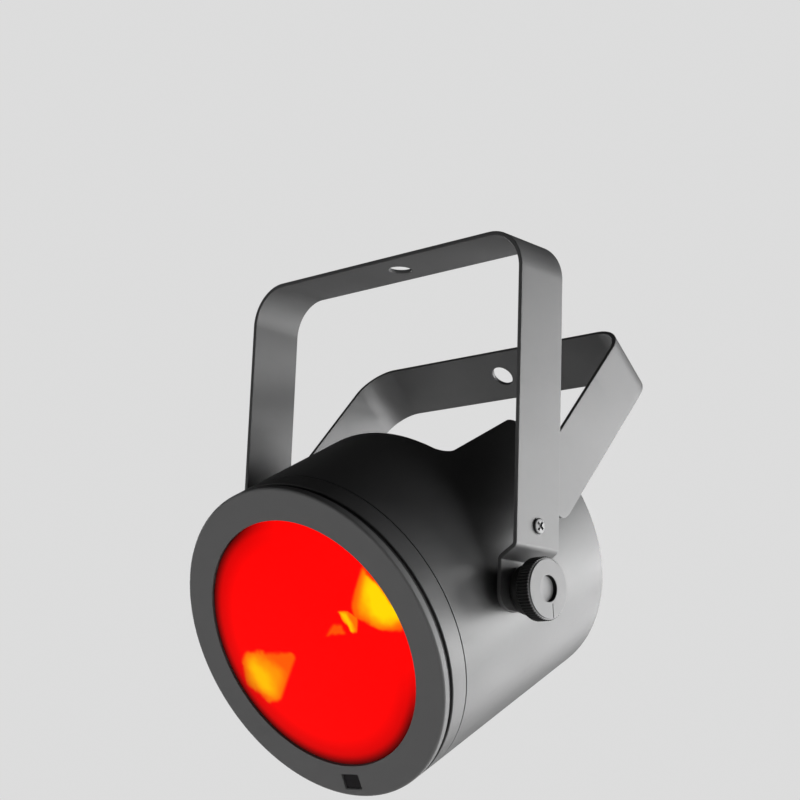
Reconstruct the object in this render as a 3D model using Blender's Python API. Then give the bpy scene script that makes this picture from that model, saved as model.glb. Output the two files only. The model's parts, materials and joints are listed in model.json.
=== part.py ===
"""Par can stage light on a double yoke, modelled in its rest pose.

Metres, +Z up. The origin is the centre of the clamp hole, on the outer face of the hanging yoke's
top strap. -Y is the way the light points, and right is +X, as seen from in front of the light.
Pieces of the can are modelled in the can's own frame: its optical axis is Y, its front is -Y.
"""
import math

import bmesh
import bpy
from mathutils import Vector

# ---------------------------------------------------------------- driving dimensions
GAP = 0.0003                  # clearance left between pieces that touch
BIG_ROUND = 72                # sides of the can's round pieces

CAN_RADIUS = 0.086
CAN_WALL = 0.0015
CAN_TILT = math.radians(29.2)  # the front points this far below the horizontal at rest
CAN_LIFT = 0.002              # the optical axis runs this far above the tilt axis
FACE_Y = -0.0642              # front face of the bezel, from the tilt axis
RIM_Y = 0.0812                # rear rim of the shell
SEAM_Y = -0.0460              # seam between the front collar and the shell
GROOVE_FRONT_Y = -0.0600      # dark groove between the bezel and the collar
GROOVE_REAR_Y = -0.0572

LENS_OPENING_RADIUS = 0.0684
LENS_RECESS = 0.0009          # front of the lens behind the face of the bezel
LENS_RADIUS = 0.0750          # the lens's own rim, held behind the bezel's flange
LENS_THICKNESS = 0.003
BEZEL_FACE_RADIUS = 0.0844
BEZEL_CORNER_DEPTH = 0.0013   # the outer edge of the face is rounded off over this depth
BEZEL_BORE = 0.0780           # bore of the bezel's rim, behind its flange
BEZEL_FLANGE = 0.003
COLLAR_BORE = 0.0783
IR_CENTRE = (-0.003, -0.0774)  # receiver window in the bezel, from the optical axis
IR_WINDOW = (0.0109, 0.0077)

NOTCH_HALF_WIDTH = 0.0527     # cable notch in the top of the rear skirt
NOTCH_FRONT_Y = 0.0206
NOTCH_INNER_FILLET = 0.0085
NOTCH_MOUTH_FILLET = 0.0045

PANEL_Y = 0.0218              # front face of the recessed rear panel
PANEL_THICKNESS = 0.0015

STRAP_WIDTH = 0.034
STRAP_THICKNESS = 0.0024
YOKE_HALF_WIDTH = 0.1026
YOKE_DROP = 0.1875            # tilt axis below the outer face of the yoke's top strap
YOKE_BEND = 0.023             # outer bend radius
YOKE_TAB_X = 0.0929           # outer face of the yoke's lower tabs
YOKE_TAB_BOTTOM = -0.0112     # lower ends of the tabs, from the tilt axis
YOKE_TAB_CORNER = 0.0085
JOGGLE_TOP = 0.0208           # the tabs step inwards between these heights above the tilt axis
JOGGLE_BOTTOM = 0.0148
CLAMP_HOLE_RADIUS = 0.0065

FOLD_HEIGHT = 0.0318          # the floor bracket's screws above the tilt axis
FLOOR_LEAN = math.radians(39.8)
FLOOR_HALF_WIDTH = 0.0984
FLOOR_REACH = 0.1457          # from the screws to the outer face of its cross strap
FLOOR_BEND = 0.020
FLOOR_TAB_RADIUS = 0.010
FLOOR_SHOULDER = (0.0205, 0.0285)

SCREW_RADIUS = 0.0024         # screws that the floor bracket turns on
SCREW_HEAD_RADIUS = 0.0041
NUT_RADIUS = 0.0046
NUT_HEIGHT = 0.0042

STUD_RADIUS = 0.004           # studs of the clamp knobs
KNOB_RADIUS = 0.0160
KNOB_NECK_RADIUS = 0.0130
KNOB_NECK_X = 0.1014          # rear of the ribbed rim
KNOB_FACE_X = 0.1099
KNOB_FACE_RADIUS = 0.0143     # the face stands proud of the ribbed rim
KNOB_STEP = 0.0008
KNOB_RECESS_RADIUS = 0.0066
KNOB_RECESS_DEPTH = 0.0022
KNOB_BORE_END = 0.1053
KNOB_RIBS = 28
RIB_DEPTH = 0.045             # share of the knob's radius
BOSS_RADIUS = 0.0100
BOSS_X = (0.0710, 0.0832)
SPACER_RADIUS = 0.0110
WASHER_RADIUS = 0.0095
WASHER_THICKNESS = 0.0012

REFLECTOR_FRONT_Y = -0.0552
REFLECTOR_REAR_Y = -0.0142
REFLECTOR_NECK = 0.0134
REFLECTOR_MOUTH = 0.0685
REFLECTOR_WALL = 0.0012
EMITTER_Y = -0.0125           # rear face of the light emitter, on its board
BOARD_RADIUS = 0.0283
ENGINE_Y = (-0.0122, -0.0107)  # engine plate and light emitter's board
SINK_Y = (-0.0104, 0.0003)
SINK_RADIUS = 0.061
FIN_ROOT_Y = -0.0064
FIN_PITCH = 0.0080
FIN_THICKNESS = 0.0018
FIN_COUNT = 15
FAN_Y = (0.0008, 0.0103)
FAN_SIZE = 0.060
FAN_RADIUS = 0.0275
FAN_HUB_RADIUS = 0.0105
FAN_BLADES = 7
LEAD_HOLE = (0.020, -0.068)   # the emitter's wire passes the engine plate here
LEAD_RADIUS = 0.0014
DRIVER_BOARD_Y = (0.0015, 0.0031)

# Places on the rear panel, from the optical axis.
DATA_IN = (-0.054, 0.006)
DATA_OUT = (-0.042, -0.036)
MAINS_IN = (0.054, 0.006)
MAINS_OUT = (0.042, -0.036)
FUSE = (0.0, -0.056)
DATA_PORT = (0.0, -0.036)
DISPLAY = (0.0, 0.050)
BUTTONS = {"menu": -0.024, "down": -0.008, "up": 0.008, "enter": 0.024}
BUTTON_Z = 0.0310
SAFETY_EYE = (0.046, 0.046)
PANEL_SCREW_CIRCLE = 0.0765
DISPLAY_SIZE = (0.038, 0.016)
MAINS_SIZE = (0.0200, 0.0270)
MAINS_Y = 0.0080              # inner end of the mains connectors
DATA_Y = 0.0106               # inner end of the data connectors
DATA_RADIUS = 0.0117
DATA_WELL_RADIUS = 0.0088
DATA_PIN_CIRCLE = 0.0042
AIR_HOLE_RADIUS = 0.022       # the panel's air slots fill a circle of this radius
AIR_SLOT_PITCH = 0.008

TILT_AXIS = Vector((0.0, 0.0, -YOKE_DROP))
FOLD_AXIS = TILT_AXIS + Vector((0.0, 0.0, FOLD_HEIGHT))
PANEL_BACK_Y = PANEL_Y + PANEL_THICKNESS
YOKE_INNER = YOKE_HALF_WIDTH - STRAP_THICKNESS
FLOOR_INNER = FLOOR_HALF_WIDTH - STRAP_THICKNESS
SHELL_INNER = CAN_RADIUS - CAN_WALL
RUNNING = STUD_RADIUS + GAP   # bore that the studs turn in
SEAT_Y = PANEL_BACK_Y + GAP   # where pieces rest on the rear of the panel
LATCH_CENTRE = (DATA_OUT[0], DATA_OUT[1] + 0.0090)
SIDES = {"right": 1, "left": -1}


# ---------------------------------------------------------------- scene and materials
def clear_scene():
    for obj in list(bpy.data.objects):
        bpy.data.objects.remove(obj, do_unlink=True)


def material(name, colour, roughness, metallic=0.0, glow=0.0):
    made = bpy.data.materials.new(name)
    made.use_nodes = True
    shader = made.node_tree.nodes["Principled BSDF"]
    shader.inputs["Base Color"].default_value = (*colour, 1.0)
    shader.inputs["Roughness"].default_value = roughness
    shader.inputs["Metallic"].default_value = metallic
    shader.inputs["Emission Color"].default_value = (*colour, 1.0)
    shader.inputs["Emission Strength"].default_value = glow
    return made


def make_materials():
    return {
        "can_paint": material("can_paint", (0.045, 0.045, 0.047), 0.42),
        "bezel_paint": material("bezel_paint", (0.085, 0.085, 0.085), 0.60),
        "yoke_paint": material("yoke_paint", (0.060, 0.060, 0.062), 0.40),
        "lens_red": material("lens_red", (0.95, 0.01, 0.01), 0.12, glow=1.0),
        "reflector": material("reflector", (0.86, 0.86, 0.86), 0.12, metallic=1.0),
        "emitter": material("emitter", (0.90, 0.70, 0.20), 0.50),
        "board": material("board", (0.03, 0.18, 0.08), 0.50),
        "aluminium": material("aluminium", (0.62, 0.63, 0.65), 0.35, metallic=1.0),
        "steel": material("steel", (0.55, 0.55, 0.56), 0.30, metallic=1.0),
        "dark_steel": material("dark_steel", (0.20, 0.20, 0.21), 0.35, metallic=0.8),
        "knob_plastic": material("knob_plastic", (0.040, 0.040, 0.042), 0.45),
        "black_plastic": material("black_plastic", (0.020, 0.020, 0.022), 0.50),
        "rubber": material("rubber", (0.015, 0.015, 0.015), 0.85),
        "window": material("window", (0.020, 0.010, 0.015), 0.08),
        "button_plastic": material("button_plastic", (0.10, 0.10, 0.11), 0.45),
    }


def empty(name, location, parent=None, tilt=0.0):
    frame = bpy.data.objects.new(name, None)
    bpy.context.collection.objects.link(frame)
    frame.location = location
    frame.rotation_euler = (tilt, 0.0, 0.0)
    frame.parent = parent
    return frame


def add(name, mesh, slot, parent=None, location=(0.0, 0.0, 0.0), crease=30.0):
    mesh.shade_smooth()
    mesh.set_sharp_from_angle(angle=math.radians(crease))
    mesh.materials.append(slot)
    obj = bpy.data.objects.new(name, mesh)
    bpy.context.collection.objects.link(obj)
    obj.location = location
    obj.parent = parent
    return obj


# ---------------------------------------------------------------- shapes
def to_mesh(shape):
    bmesh.ops.recalc_face_normals(shape, faces=shape.faces)
    mesh = bpy.data.meshes.new("shape")
    shape.to_mesh(mesh)
    shape.free()
    return mesh


def along(axis, first, second, height):
    """A point whose height lies along the axis X, Y or Z; first and second span its plane."""
    if axis == "X":
        return Vector((height, first, second))
    if axis == "Y":
        return Vector((first, height, second))
    return Vector((first, second, height))


def turned(profile, axis="Y", segments=BIG_ROUND, centre=(0.0, 0.0), wave=None):
    """Solid of revolution from a closed profile of (radius, height) points.

    A point of radius zero is on the axis. wave(height_index, step) scales a ring's radius.
    """
    shape = bmesh.new()
    rings = []
    for index, (radius, height) in enumerate(profile):
        if radius == 0.0:
            rings.append([shape.verts.new(along(axis, *centre, height))])
            continue
        ring = []
        for step in range(segments):
            angle = math.tau * (step + 0.5) / segments
            reach = radius * (wave(index, step) if wave else 1.0)
            first = centre[0] + reach * math.sin(angle)
            second = centre[1] + reach * math.cos(angle)
            ring.append(shape.verts.new(along(axis, first, second, height)))
        rings.append(ring)
    for one, two in zip(rings, rings[1:] + rings[:1]):
        if len(one) == 1 and len(two) == 1:
            continue
        for step in range(segments):
            after = (step + 1) % segments
            if len(one) == 1:
                shape.faces.new((one[0], two[step], two[after]))
            elif len(two) == 1:
                shape.faces.new((one[step], one[after], two[0]))
            else:
                shape.faces.new((one[step], one[after], two[after], two[step]))
    return to_mesh(shape)


def disc(radius, low, high, axis="Y", segments=32, centre=(0.0, 0.0)):
    """A round plate or rod whose flat ends are one face each."""
    outline = []
    for step in range(segments):
        angle = math.tau * (step + 0.5) / segments
        outline.append((centre[0] + radius * math.sin(angle), centre[1] + radius * math.cos(angle)))
    return prism(outline, low, high, axis)


def ring(inner, outer, low, high, axis="Y", segments=32, centre=(0.0, 0.0)):
    profile = [(inner, low), (outer, low), (outer, high), (inner, high)]
    return turned(profile, axis, segments, centre)


def prism(outline, low, high, axis="Y"):
    """A flat outline extruded along an axis between two heights."""
    shape = bmesh.new()
    bottom = [shape.verts.new(along(axis, first, second, low)) for first, second in outline]
    top = [shape.verts.new(along(axis, first, second, high)) for first, second in outline]
    shape.faces.new(bottom)
    shape.faces.new(top)
    for index in range(len(outline)):
        after = (index + 1) % len(outline)
        shape.faces.new((bottom[index], bottom[after], top[after], top[index]))
    return to_mesh(shape)


def rectangle(width, height, centre=(0.0, 0.0), corner=0.0, steps=4):
    """Outline of a rectangle, with round corners where a corner radius is given."""
    points = []
    for turn in range(4):
        side = (1, 1, -1, -1)[turn], (1, -1, -1, 1)[turn]
        pivot = (centre[0] + side[0] * (width / 2 - corner), centre[1] + side[1] * (height / 2 - corner))
        if corner == 0.0:
            points.append(pivot)
            continue
        for step in range(steps + 1):
            angle = math.radians(90.0 * turn + 90.0 * step / steps)
            points.append((pivot[0] + corner * math.sin(angle), pivot[1] + corner * math.cos(angle)))
    return points


def block(width, height, low, high, centre=(0.0, 0.0), corner=0.0, axis="Y"):
    return prism(rectangle(width, height, centre, corner), low, high, axis)


def combine(target, mesh, operation="DIFFERENCE", parent=None, location=(0.0, 0.0, 0.0)):
    """Cuts a hidden guide solid from the target, or joins or intersects it with the target."""
    guide = bpy.data.objects.new(target.name + "_guide", mesh)
    bpy.context.collection.objects.link(guide)
    guide.location = location
    guide.parent = parent
    guide.hide_render = True
    guide.display_type = "WIRE"
    modifier = target.modifiers.new(operation.lower(), "BOOLEAN")
    modifier.operation = operation
    modifier.solver = "EXACT"
    modifier.object = guide


def arc(centre, radius, start, end, steps):
    """Points of an arc in a plane; angles in degrees, anticlockwise from the first axis."""
    points = []
    for step in range(steps + 1):
        angle = math.radians(start + (end - start) * step / steps)
        points.append((centre[0] + radius * math.cos(angle), centre[1] + radius * math.sin(angle)))
    return points


# ---------------------------------------------------------------- bent straps
def fillet(before, corner, after, radius, steps):
    """Replaces a corner of a path by an arc tangent to both of its sides."""
    into = (Vector(before) - Vector(corner)).normalized()
    out = (Vector(after) - Vector(corner)).normalized()
    half = into.angle(out) / 2
    centre = Vector(corner) + (into + out).normalized() * radius / math.sin(half)
    reach = radius / math.tan(half)
    start = Vector(corner) + into * reach - centre
    end = Vector(corner) + out * reach - centre
    points = []
    for step in range(steps + 1):
        spoke = start.slerp(end, step / steps)
        points.append(centre + spoke * radius / spoke.length)
    return points


def strap(half_path, width_at):
    """A flat strap bent into a U in the XZ plane; its width runs along Y.

    half_path runs from one end on the +X side to the middle of the top. width_at gives the width at
    a height.
    """
    path = half_path + [Vector((-point.x, point.y)) for point in reversed(half_path[:-1])]
    shape = bmesh.new()
    sections = []
    for index, point in enumerate(path):
        before = path[max(index - 1, 0)]
        after = path[min(index + 1, len(path) - 1)]
        into = (point - before).normalized() if index else (after - point).normalized()
        out = (after - point).normalized() if index < len(path) - 1 else into
        tangent = (into + out).normalized()
        normal = Vector((tangent.y, -tangent.x)) / max(tangent.dot(into), 0.5)
        half = width_at(point.y) / 2
        section = []
        for side, across in ((1, -half), (1, half), (-1, half), (-1, -half)):
            place = point + normal * side * STRAP_THICKNESS / 2
            section.append(shape.verts.new((place.x, across, place.y)))
        sections.append(section)
    for one, two in zip(sections, sections[1:]):
        for index in range(4):
            after = (index + 1) % 4
            shape.faces.new((one[index], one[after], two[after], two[index]))
    shape.faces.new(sections[0])
    shape.faces.new(sections[-1])
    return to_mesh(shape)


def end_heights(radius, steps=8):
    """Heights above the lowest point of a strap end with round corners, closer together there."""
    return [radius * (1.0 - math.cos(math.pi / 2 * step / steps)) for step in range(1, steps + 1)]


def end_width(height, bottom, width, corner):
    """Width of a strap at a height above its lower end, whose corners are round."""
    up = min(max(height - bottom, 0.0), corner)
    reach = math.sqrt(max(corner ** 2 - (corner - up) ** 2, (corner / 6) ** 2))
    return width - 2 * (corner - reach)


def yoke_bracket(mats):
    """The hanging yoke: its tabs step inwards to the can below the floor bracket's screws."""
    middle = YOKE_HALF_WIDTH - STRAP_THICKNESS / 2
    tab = YOKE_TAB_X - STRAP_THICKNESS / 2
    top = YOKE_DROP - STRAP_THICKNESS / 2
    bottom = YOKE_TAB_BOTTOM
    upper = (middle, JOGGLE_TOP)
    lower = (tab, JOGGLE_BOTTOM)
    path = [Vector((tab, bottom))]
    path += [Vector((tab, bottom + height)) for height in end_heights(YOKE_TAB_CORNER, 6)]
    path += fillet((tab, 0.0), lower, upper, 0.0022, 3)
    path += fillet(lower, upper, (middle, top), 0.0022, 3)
    path += fillet(upper, (middle, top), (0.0, top), YOKE_BEND - STRAP_THICKNESS / 2, 10)
    path += [Vector((0.0, top))]

    def width_at(height):
        return end_width(height, bottom, STRAP_WIDTH, YOKE_TAB_CORNER)

    yoke = add("yoke_bracket", strap(path, width_at), mats["yoke_paint"], location=TILT_AXIS)
    reach = YOKE_DROP + 0.01
    combine(yoke, disc(CLAMP_HOLE_RADIUS, reach - 0.03, reach, "Z", 32), location=TILT_AXIS)
    combine(yoke, disc(RUNNING, -0.12, 0.12, "X", 24), location=TILT_AXIS)
    combine(yoke, disc(SCREW_RADIUS + GAP, -0.12, 0.12, "X", 16), location=FOLD_AXIS)
    return yoke


def floor_bracket(mats, frame):
    """The inner bracket: it swings on the two screws and folds flat inside the yoke."""
    middle = FLOOR_HALF_WIDTH - STRAP_THICKNESS / 2
    top = FLOOR_REACH - STRAP_THICKNESS / 2
    bottom = -FLOOR_TAB_RADIUS
    low, high = FLOOR_SHOULDER
    path = [Vector((middle, bottom))]
    path += [Vector((middle, bottom + height)) for height in end_heights(FLOOR_TAB_RADIUS, 6)]
    path += [Vector((middle, low + (high - low) * step / 6)) for step in range(7)]
    path += fillet((middle, high), (middle, top), (0.0, top), FLOOR_BEND - STRAP_THICKNESS / 2, 10)
    path += [Vector((0.0, top))]

    def width_at(height):
        if height <= low:
            return end_width(height, bottom, 2 * FLOOR_TAB_RADIUS, FLOOR_TAB_RADIUS)
        share = min((height - low) / (high - low), 1.0)
        swell = math.sqrt(1.0 - (1.0 - share) ** 2)
        return 2 * FLOOR_TAB_RADIUS + (STRAP_WIDTH - 2 * FLOOR_TAB_RADIUS) * swell

    bracket = add("floor_bracket", strap(path, width_at), mats["yoke_paint"], frame)
    combine(bracket, disc(CLAMP_HOLE_RADIUS, top - 0.01, top + 0.01, "Z", 32), parent=frame)
    combine(bracket, disc(SCREW_RADIUS + GAP, -0.12, 0.12, "X", 16), parent=frame)
    return bracket


# ---------------------------------------------------------------- fasteners of the two brackets
def cross_recess(half_length, half_width):
    long, short = half_length, half_width
    return [(short, short), (short, long), (-short, long), (-short, short), (-long, short),
            (-long, -short), (-short, -short), (-short, -long), (short, -long), (short, -short),
            (long, -short), (long, short)]


def pivot_fasteners(mats, side):
    """Screw, friction washer and lock nut that the floor bracket turns on."""
    sign = SIDES[side]
    head = YOKE_HALF_WIDTH + GAP
    tip = FLOOR_INNER - NUT_HEIGHT - 0.0013
    crown = SCREW_HEAD_RADIUS - 0.0008
    profile = [(0.0, sign * tip), (SCREW_RADIUS, sign * tip), (SCREW_RADIUS, sign * head),
               (SCREW_HEAD_RADIUS, sign * head), (SCREW_HEAD_RADIUS, sign * (head + 0.0010)),
               (crown, sign * (head + 0.0016)), (0.0, sign * (head + 0.0018))]
    screw = add("pivot_screw_" + side, turned(profile, "X", 18), mats["steel"], location=FOLD_AXIS)
    deep, over = sorted((sign * (head + 0.0006), sign * (head + 0.0040)))
    combine(screw, prism(cross_recess(0.0024, 0.0006), deep, over, "X"), location=FOLD_AXIS)

    low, high = sorted((sign * (FLOOR_HALF_WIDTH + GAP), sign * (YOKE_INNER - GAP)))
    washer = ring(SCREW_RADIUS + GAP, 0.0085, low, high, "X", 20)
    add("friction_washer_" + side, washer, mats["black_plastic"], location=FOLD_AXIS)

    face = FLOOR_INNER - GAP
    low, high = sorted((sign * face, sign * (face - NUT_HEIGHT)))
    nut = add("lock_nut_" + side, disc(NUT_RADIUS, low, high, "X", 6), mats["steel"],
              location=FOLD_AXIS)
    combine(nut, disc(SCREW_RADIUS + GAP, low - 0.002, high + 0.002, "X", 16), location=FOLD_AXIS)


# ---------------------------------------------------------------- can housing
def can_shell(mats, frame):
    front = SEAM_Y + GAP
    profile = [(SHELL_INNER, front), (CAN_RADIUS, front), (CAN_RADIUS, RIM_Y), (SHELL_INNER, RIM_Y)]
    shell = add("can_shell", turned(profile), mats["can_paint"], frame)
    half = NOTCH_HALF_WIDTH
    inner, mouth = NOTCH_INNER_FILLET, NOTCH_MOUTH_FILLET
    beyond = RIM_Y + 0.02
    right = arc((half - inner, NOTCH_FRONT_Y + inner), inner, -90, 0, 5)
    right += arc((half + mouth, RIM_Y - mouth), mouth, 180, 90, 4)
    right += [(half + mouth, beyond)]
    left = [(-first, second) for first, second in reversed(right)]
    combine(shell, prism(right + left, 0.02, 0.12, "Z"), parent=frame)
    combine(shell, disc(STUD_RADIUS + 0.0006, -0.12, 0.12, "X", 24, (0.0, -CAN_LIFT)), parent=frame)
    return shell


def front_bezel(mats, frame):
    """Flanged ring that holds the lens, with a shallow pocket for the receiver window."""
    across, rear = CAN_RADIUS - BEZEL_FACE_RADIUS, FACE_Y + BEZEL_FLANGE
    profile = [(LENS_OPENING_RADIUS, FACE_Y), (BEZEL_FACE_RADIUS, FACE_Y)]
    for turn in (30, 60, 90):
        angle = math.radians(turn)
        profile.append((BEZEL_FACE_RADIUS + across * math.sin(angle),
                        FACE_Y + BEZEL_CORNER_DEPTH * (1 - math.cos(angle))))
    profile += [(CAN_RADIUS, GROOVE_FRONT_Y), (BEZEL_BORE, GROOVE_FRONT_Y), (BEZEL_BORE, rear),
                (LENS_OPENING_RADIUS, rear)]
    bezel = add("front_bezel", turned(profile), mats["bezel_paint"], frame)
    width, height = [side + 2 * GAP for side in IR_WINDOW]
    pocket = block(width, height, FACE_Y - 0.002, FACE_Y + 0.002, IR_CENTRE)
    combine(bezel, pocket, parent=frame)
    return bezel


def front_pieces(mats, frame):
    """Receiver window, gasket in the groove, collar, lens and the seal that backs the lens."""
    window = block(*IR_WINDOW, FACE_Y + 0.0002, FACE_Y + 0.0017, IR_CENTRE, 0.0004)
    add("ir_window", window, mats["window"], frame)
    gasket = ring(COLLAR_BORE, 0.0846, GROOVE_FRONT_Y + GAP, GROOVE_REAR_Y - GAP, segments=BIG_ROUND)
    add("bezel_gasket", gasket, mats["rubber"], frame)

    front, seam, spigot_end = GROOVE_REAR_Y, SEAM_Y - 0.0001, SEAM_Y + 0.010
    spigot, spigot_bore, lip = SHELL_INNER - GAP, 0.0822, 0.0022
    profile = [(COLLAR_BORE, front), (CAN_RADIUS, front), (CAN_RADIUS, seam), (spigot, seam),
               (spigot, spigot_end), (spigot_bore, spigot_end), (spigot_bore, front + lip),
               (COLLAR_BORE, front + lip)]
    add("front_collar", turned(profile), mats["can_paint"], frame)

    rim = FACE_Y + BEZEL_FLANGE + GAP
    raised = LENS_OPENING_RADIUS - 0.0004
    profile = [(0.0, FACE_Y + LENS_RECESS), (raised, FACE_Y + LENS_RECESS), (raised, rim),
               (LENS_RADIUS, rim), (LENS_RADIUS, rim + LENS_THICKNESS), (0.0, rim + LENS_THICKNESS)]
    add("front_lens", turned(profile), mats["lens_red"], frame)

    seal = rim + LENS_THICKNESS + GAP
    inner, outer, thickness = 0.0720, 0.0776, 0.0021
    profile = [(inner, seal), (LENS_RADIUS + GAP, seal), (LENS_RADIUS + GAP, rim), (outer, rim),
               (outer, seal + thickness), (inner, seal + thickness)]
    add("lens_seal", turned(profile, segments=48), mats["rubber"], frame)


# ---------------------------------------------------------------- light engine
def reflector(mats, frame):
    """Bowl of parabolic section, open at both ends, with a flange that holds the lens seal."""
    neck, mouth, wall = REFLECTOR_NECK, REFLECTOR_MOUTH, REFLECTOR_WALL
    depth = REFLECTOR_REAR_Y - REFLECTOR_FRONT_Y
    steps = 6

    def bowl(share, outset):
        radius = math.sqrt(neck ** 2 + (mouth ** 2 - neck ** 2) * share)
        return (radius + outset, REFLECTOR_REAR_Y - depth * share)

    inside = [bowl(step / steps, 0.0) for step in range(steps + 1)]
    outside = [bowl(step / steps, wall) for step in range(steps)]
    rim, rear = BEZEL_BORE - 0.0001, REFLECTOR_FRONT_Y + wall
    flange = [(rim, REFLECTOR_FRONT_Y), (rim, rear), (mouth + 0.0015, rear)]
    profile = inside + flange + outside[::-1]
    add("reflector", turned(profile, segments=36), mats["reflector"], frame)


def light_engine(mats, frame):
    """Plate across the can that carries the emitter's board in front and the heat sink behind."""
    front, rear = ENGINE_Y
    board_hole = BOARD_RADIUS + GAP
    plate = add("engine_plate", ring(board_hole, SHELL_INNER - GAP, front, rear, segments=48),
                mats["aluminium"], frame)
    combine(plate, disc(0.0038, -0.02, 0.0, segments=16, centre=LEAD_HOLE), parent=frame)
    add("led_board", disc(BOARD_RADIUS, front, rear, segments=32), mats["aluminium"], frame)
    add("led_emitter", disc(0.0120, EMITTER_Y - 0.0014, EMITTER_Y, segments=32), mats["emitter"], frame)
    add("reflector_holder", ring(0.0124, 0.0245, EMITTER_Y - 0.0014, EMITTER_Y, segments=32),
        mats["black_plastic"], frame)

    base, tip = SINK_Y
    half = FIN_THICKNESS / 2
    outline = [(-0.062, base), (0.062, base)]
    for index in range(FIN_COUNT):
        middle = FIN_PITCH * ((FIN_COUNT - 1) / 2 - index)
        outline += [(middle + half, FIN_ROOT_Y), (middle + half, tip),
                    (middle - half, tip), (middle - half, FIN_ROOT_Y)]
    sink = add("heat_sink", prism(outline, -0.065, 0.065, "Z"), mats["aluminium"], frame)
    combine(sink, disc(SINK_RADIUS, -0.02, 0.01, segments=64), "INTERSECT", frame)


def cooling_fan(mats, frame):
    """Square frame with a hub plate on a cross of four arms, and a rotor of straight blades."""
    low, high = FAN_Y
    housing = add("fan_frame", block(FAN_SIZE, FAN_SIZE, low, high, corner=0.004),
                  mats["black_plastic"], frame)
    combine(housing, disc(FAN_RADIUS + 0.0008, low - 0.01, high + 0.01, segments=48), parent=frame)
    combine(housing, disc(0.0110, high - 0.0018, high, segments=24), "UNION", frame)
    for turn in range(2):
        size = (0.0026, 0.0574)[::1 - 2 * turn]
        combine(housing, block(*size, high - 0.0016, high - 0.0001), "UNION", frame)

    blades, sides = FAN_BLADES, 4 * FAN_BLADES
    hub_radius = FAN_HUB_RADIUS
    start, stop = low + 0.0004, high - 0.0024
    shape = bmesh.new()
    rings = []
    for height in (start, stop):
        rings.append([shape.verts.new((hub_radius * math.sin(math.tau * step / sides), height,
                                       hub_radius * math.cos(math.tau * step / sides)))
                      for step in range(sides)])
    shape.faces.new(rings[0])
    shape.faces.new(rings[1])
    for step in range(sides):
        after = (step + 1) % sides
        root = (rings[0][step], rings[0][after], rings[1][after], rings[1][step])
        if step % (sides // blades):
            shape.faces.new(root)
            continue
        blade = [root]
        for reach, twist in ((0.016, 9.0), (0.0215, 13.0), (0.0268, 16.0)):
            edge = []
            for corner, vert in enumerate(root):
                front = corner < 2
                lean = math.radians(twist if front else -twist)
                hub_angle = math.tau * (step + (0.30 if corner in (0, 3) else 0.70)) / sides
                angle = hub_angle + lean
                edge.append(shape.verts.new((reach * math.sin(angle), vert.co.y,
                                             reach * math.cos(angle))))
            blade.append(edge)
        for one, two in zip(blade, blade[1:]):
            for index in range(4):
                after_index = (index + 1) % 4
                shape.faces.new((one[index], one[after_index], two[after_index], two[index]))
        shape.faces.new(blade[-1])
    add("fan_rotor", to_mesh(shape), mats["black_plastic"], frame)


# ---------------------------------------------------------------- electronics
def power_electronics(mats, frame):
    """Horseshoe driver board below the fan, with its transformer."""
    outline = arc((0.0, 0.0), 0.0800, 200, 340, 18) + arc((0.0, 0.0), 0.0455, 340, 200, 12)
    board = add("driver_board", prism(outline, *DRIVER_BOARD_Y), mats["board"], frame)
    combine(board, disc(0.0022, -0.01, 0.01, segments=12, centre=LEAD_HOLE), parent=frame)
    low = DRIVER_BOARD_Y[1] + GAP
    add("transformer", block(0.016, 0.013, low, low + 0.013, (-0.020, -0.066)),
        mats["black_plastic"], frame)


def led_lead(mats, frame):
    """Wire from the driver board through the engine plate to the light emitter's board."""
    bend_radius = 0.005
    side_y = -0.0140
    start = Vector((LEAD_HOLE[0], 0.0045, LEAD_HOLE[1]))
    bend_start = Vector((LEAD_HOLE[0], side_y + bend_radius, LEAD_HOLE[1]))
    end = Vector((0.0080, side_y, -0.0270))
    route = [start.lerp(bend_start, step / 4) for step in range(5)]
    for step in range(1, 7):
        angle = math.radians(15 * step)
        turn = Vector((0.0, -math.sin(angle), 1.0 - math.cos(angle)))
        route.append(bend_start + turn * bend_radius)
    route += [route[-1].lerp(end, step / 6) for step in range(1, 7)]
    curve = bpy.data.curves.new("led_lead", "CURVE")
    curve.dimensions = "3D"
    spline = curve.splines.new("POLY")
    spline.points.add(len(route) - 1)
    for place, point in zip(spline.points, route):
        place.co = (*point, 1.0)
    curve.bevel_depth = LEAD_RADIUS
    curve.bevel_resolution = 2
    curve.use_fill_caps = True
    curve.materials.append(mats["rubber"])
    obj = bpy.data.objects.new("led_lead", curve)
    bpy.context.collection.objects.link(obj)
    obj.parent = frame


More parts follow.
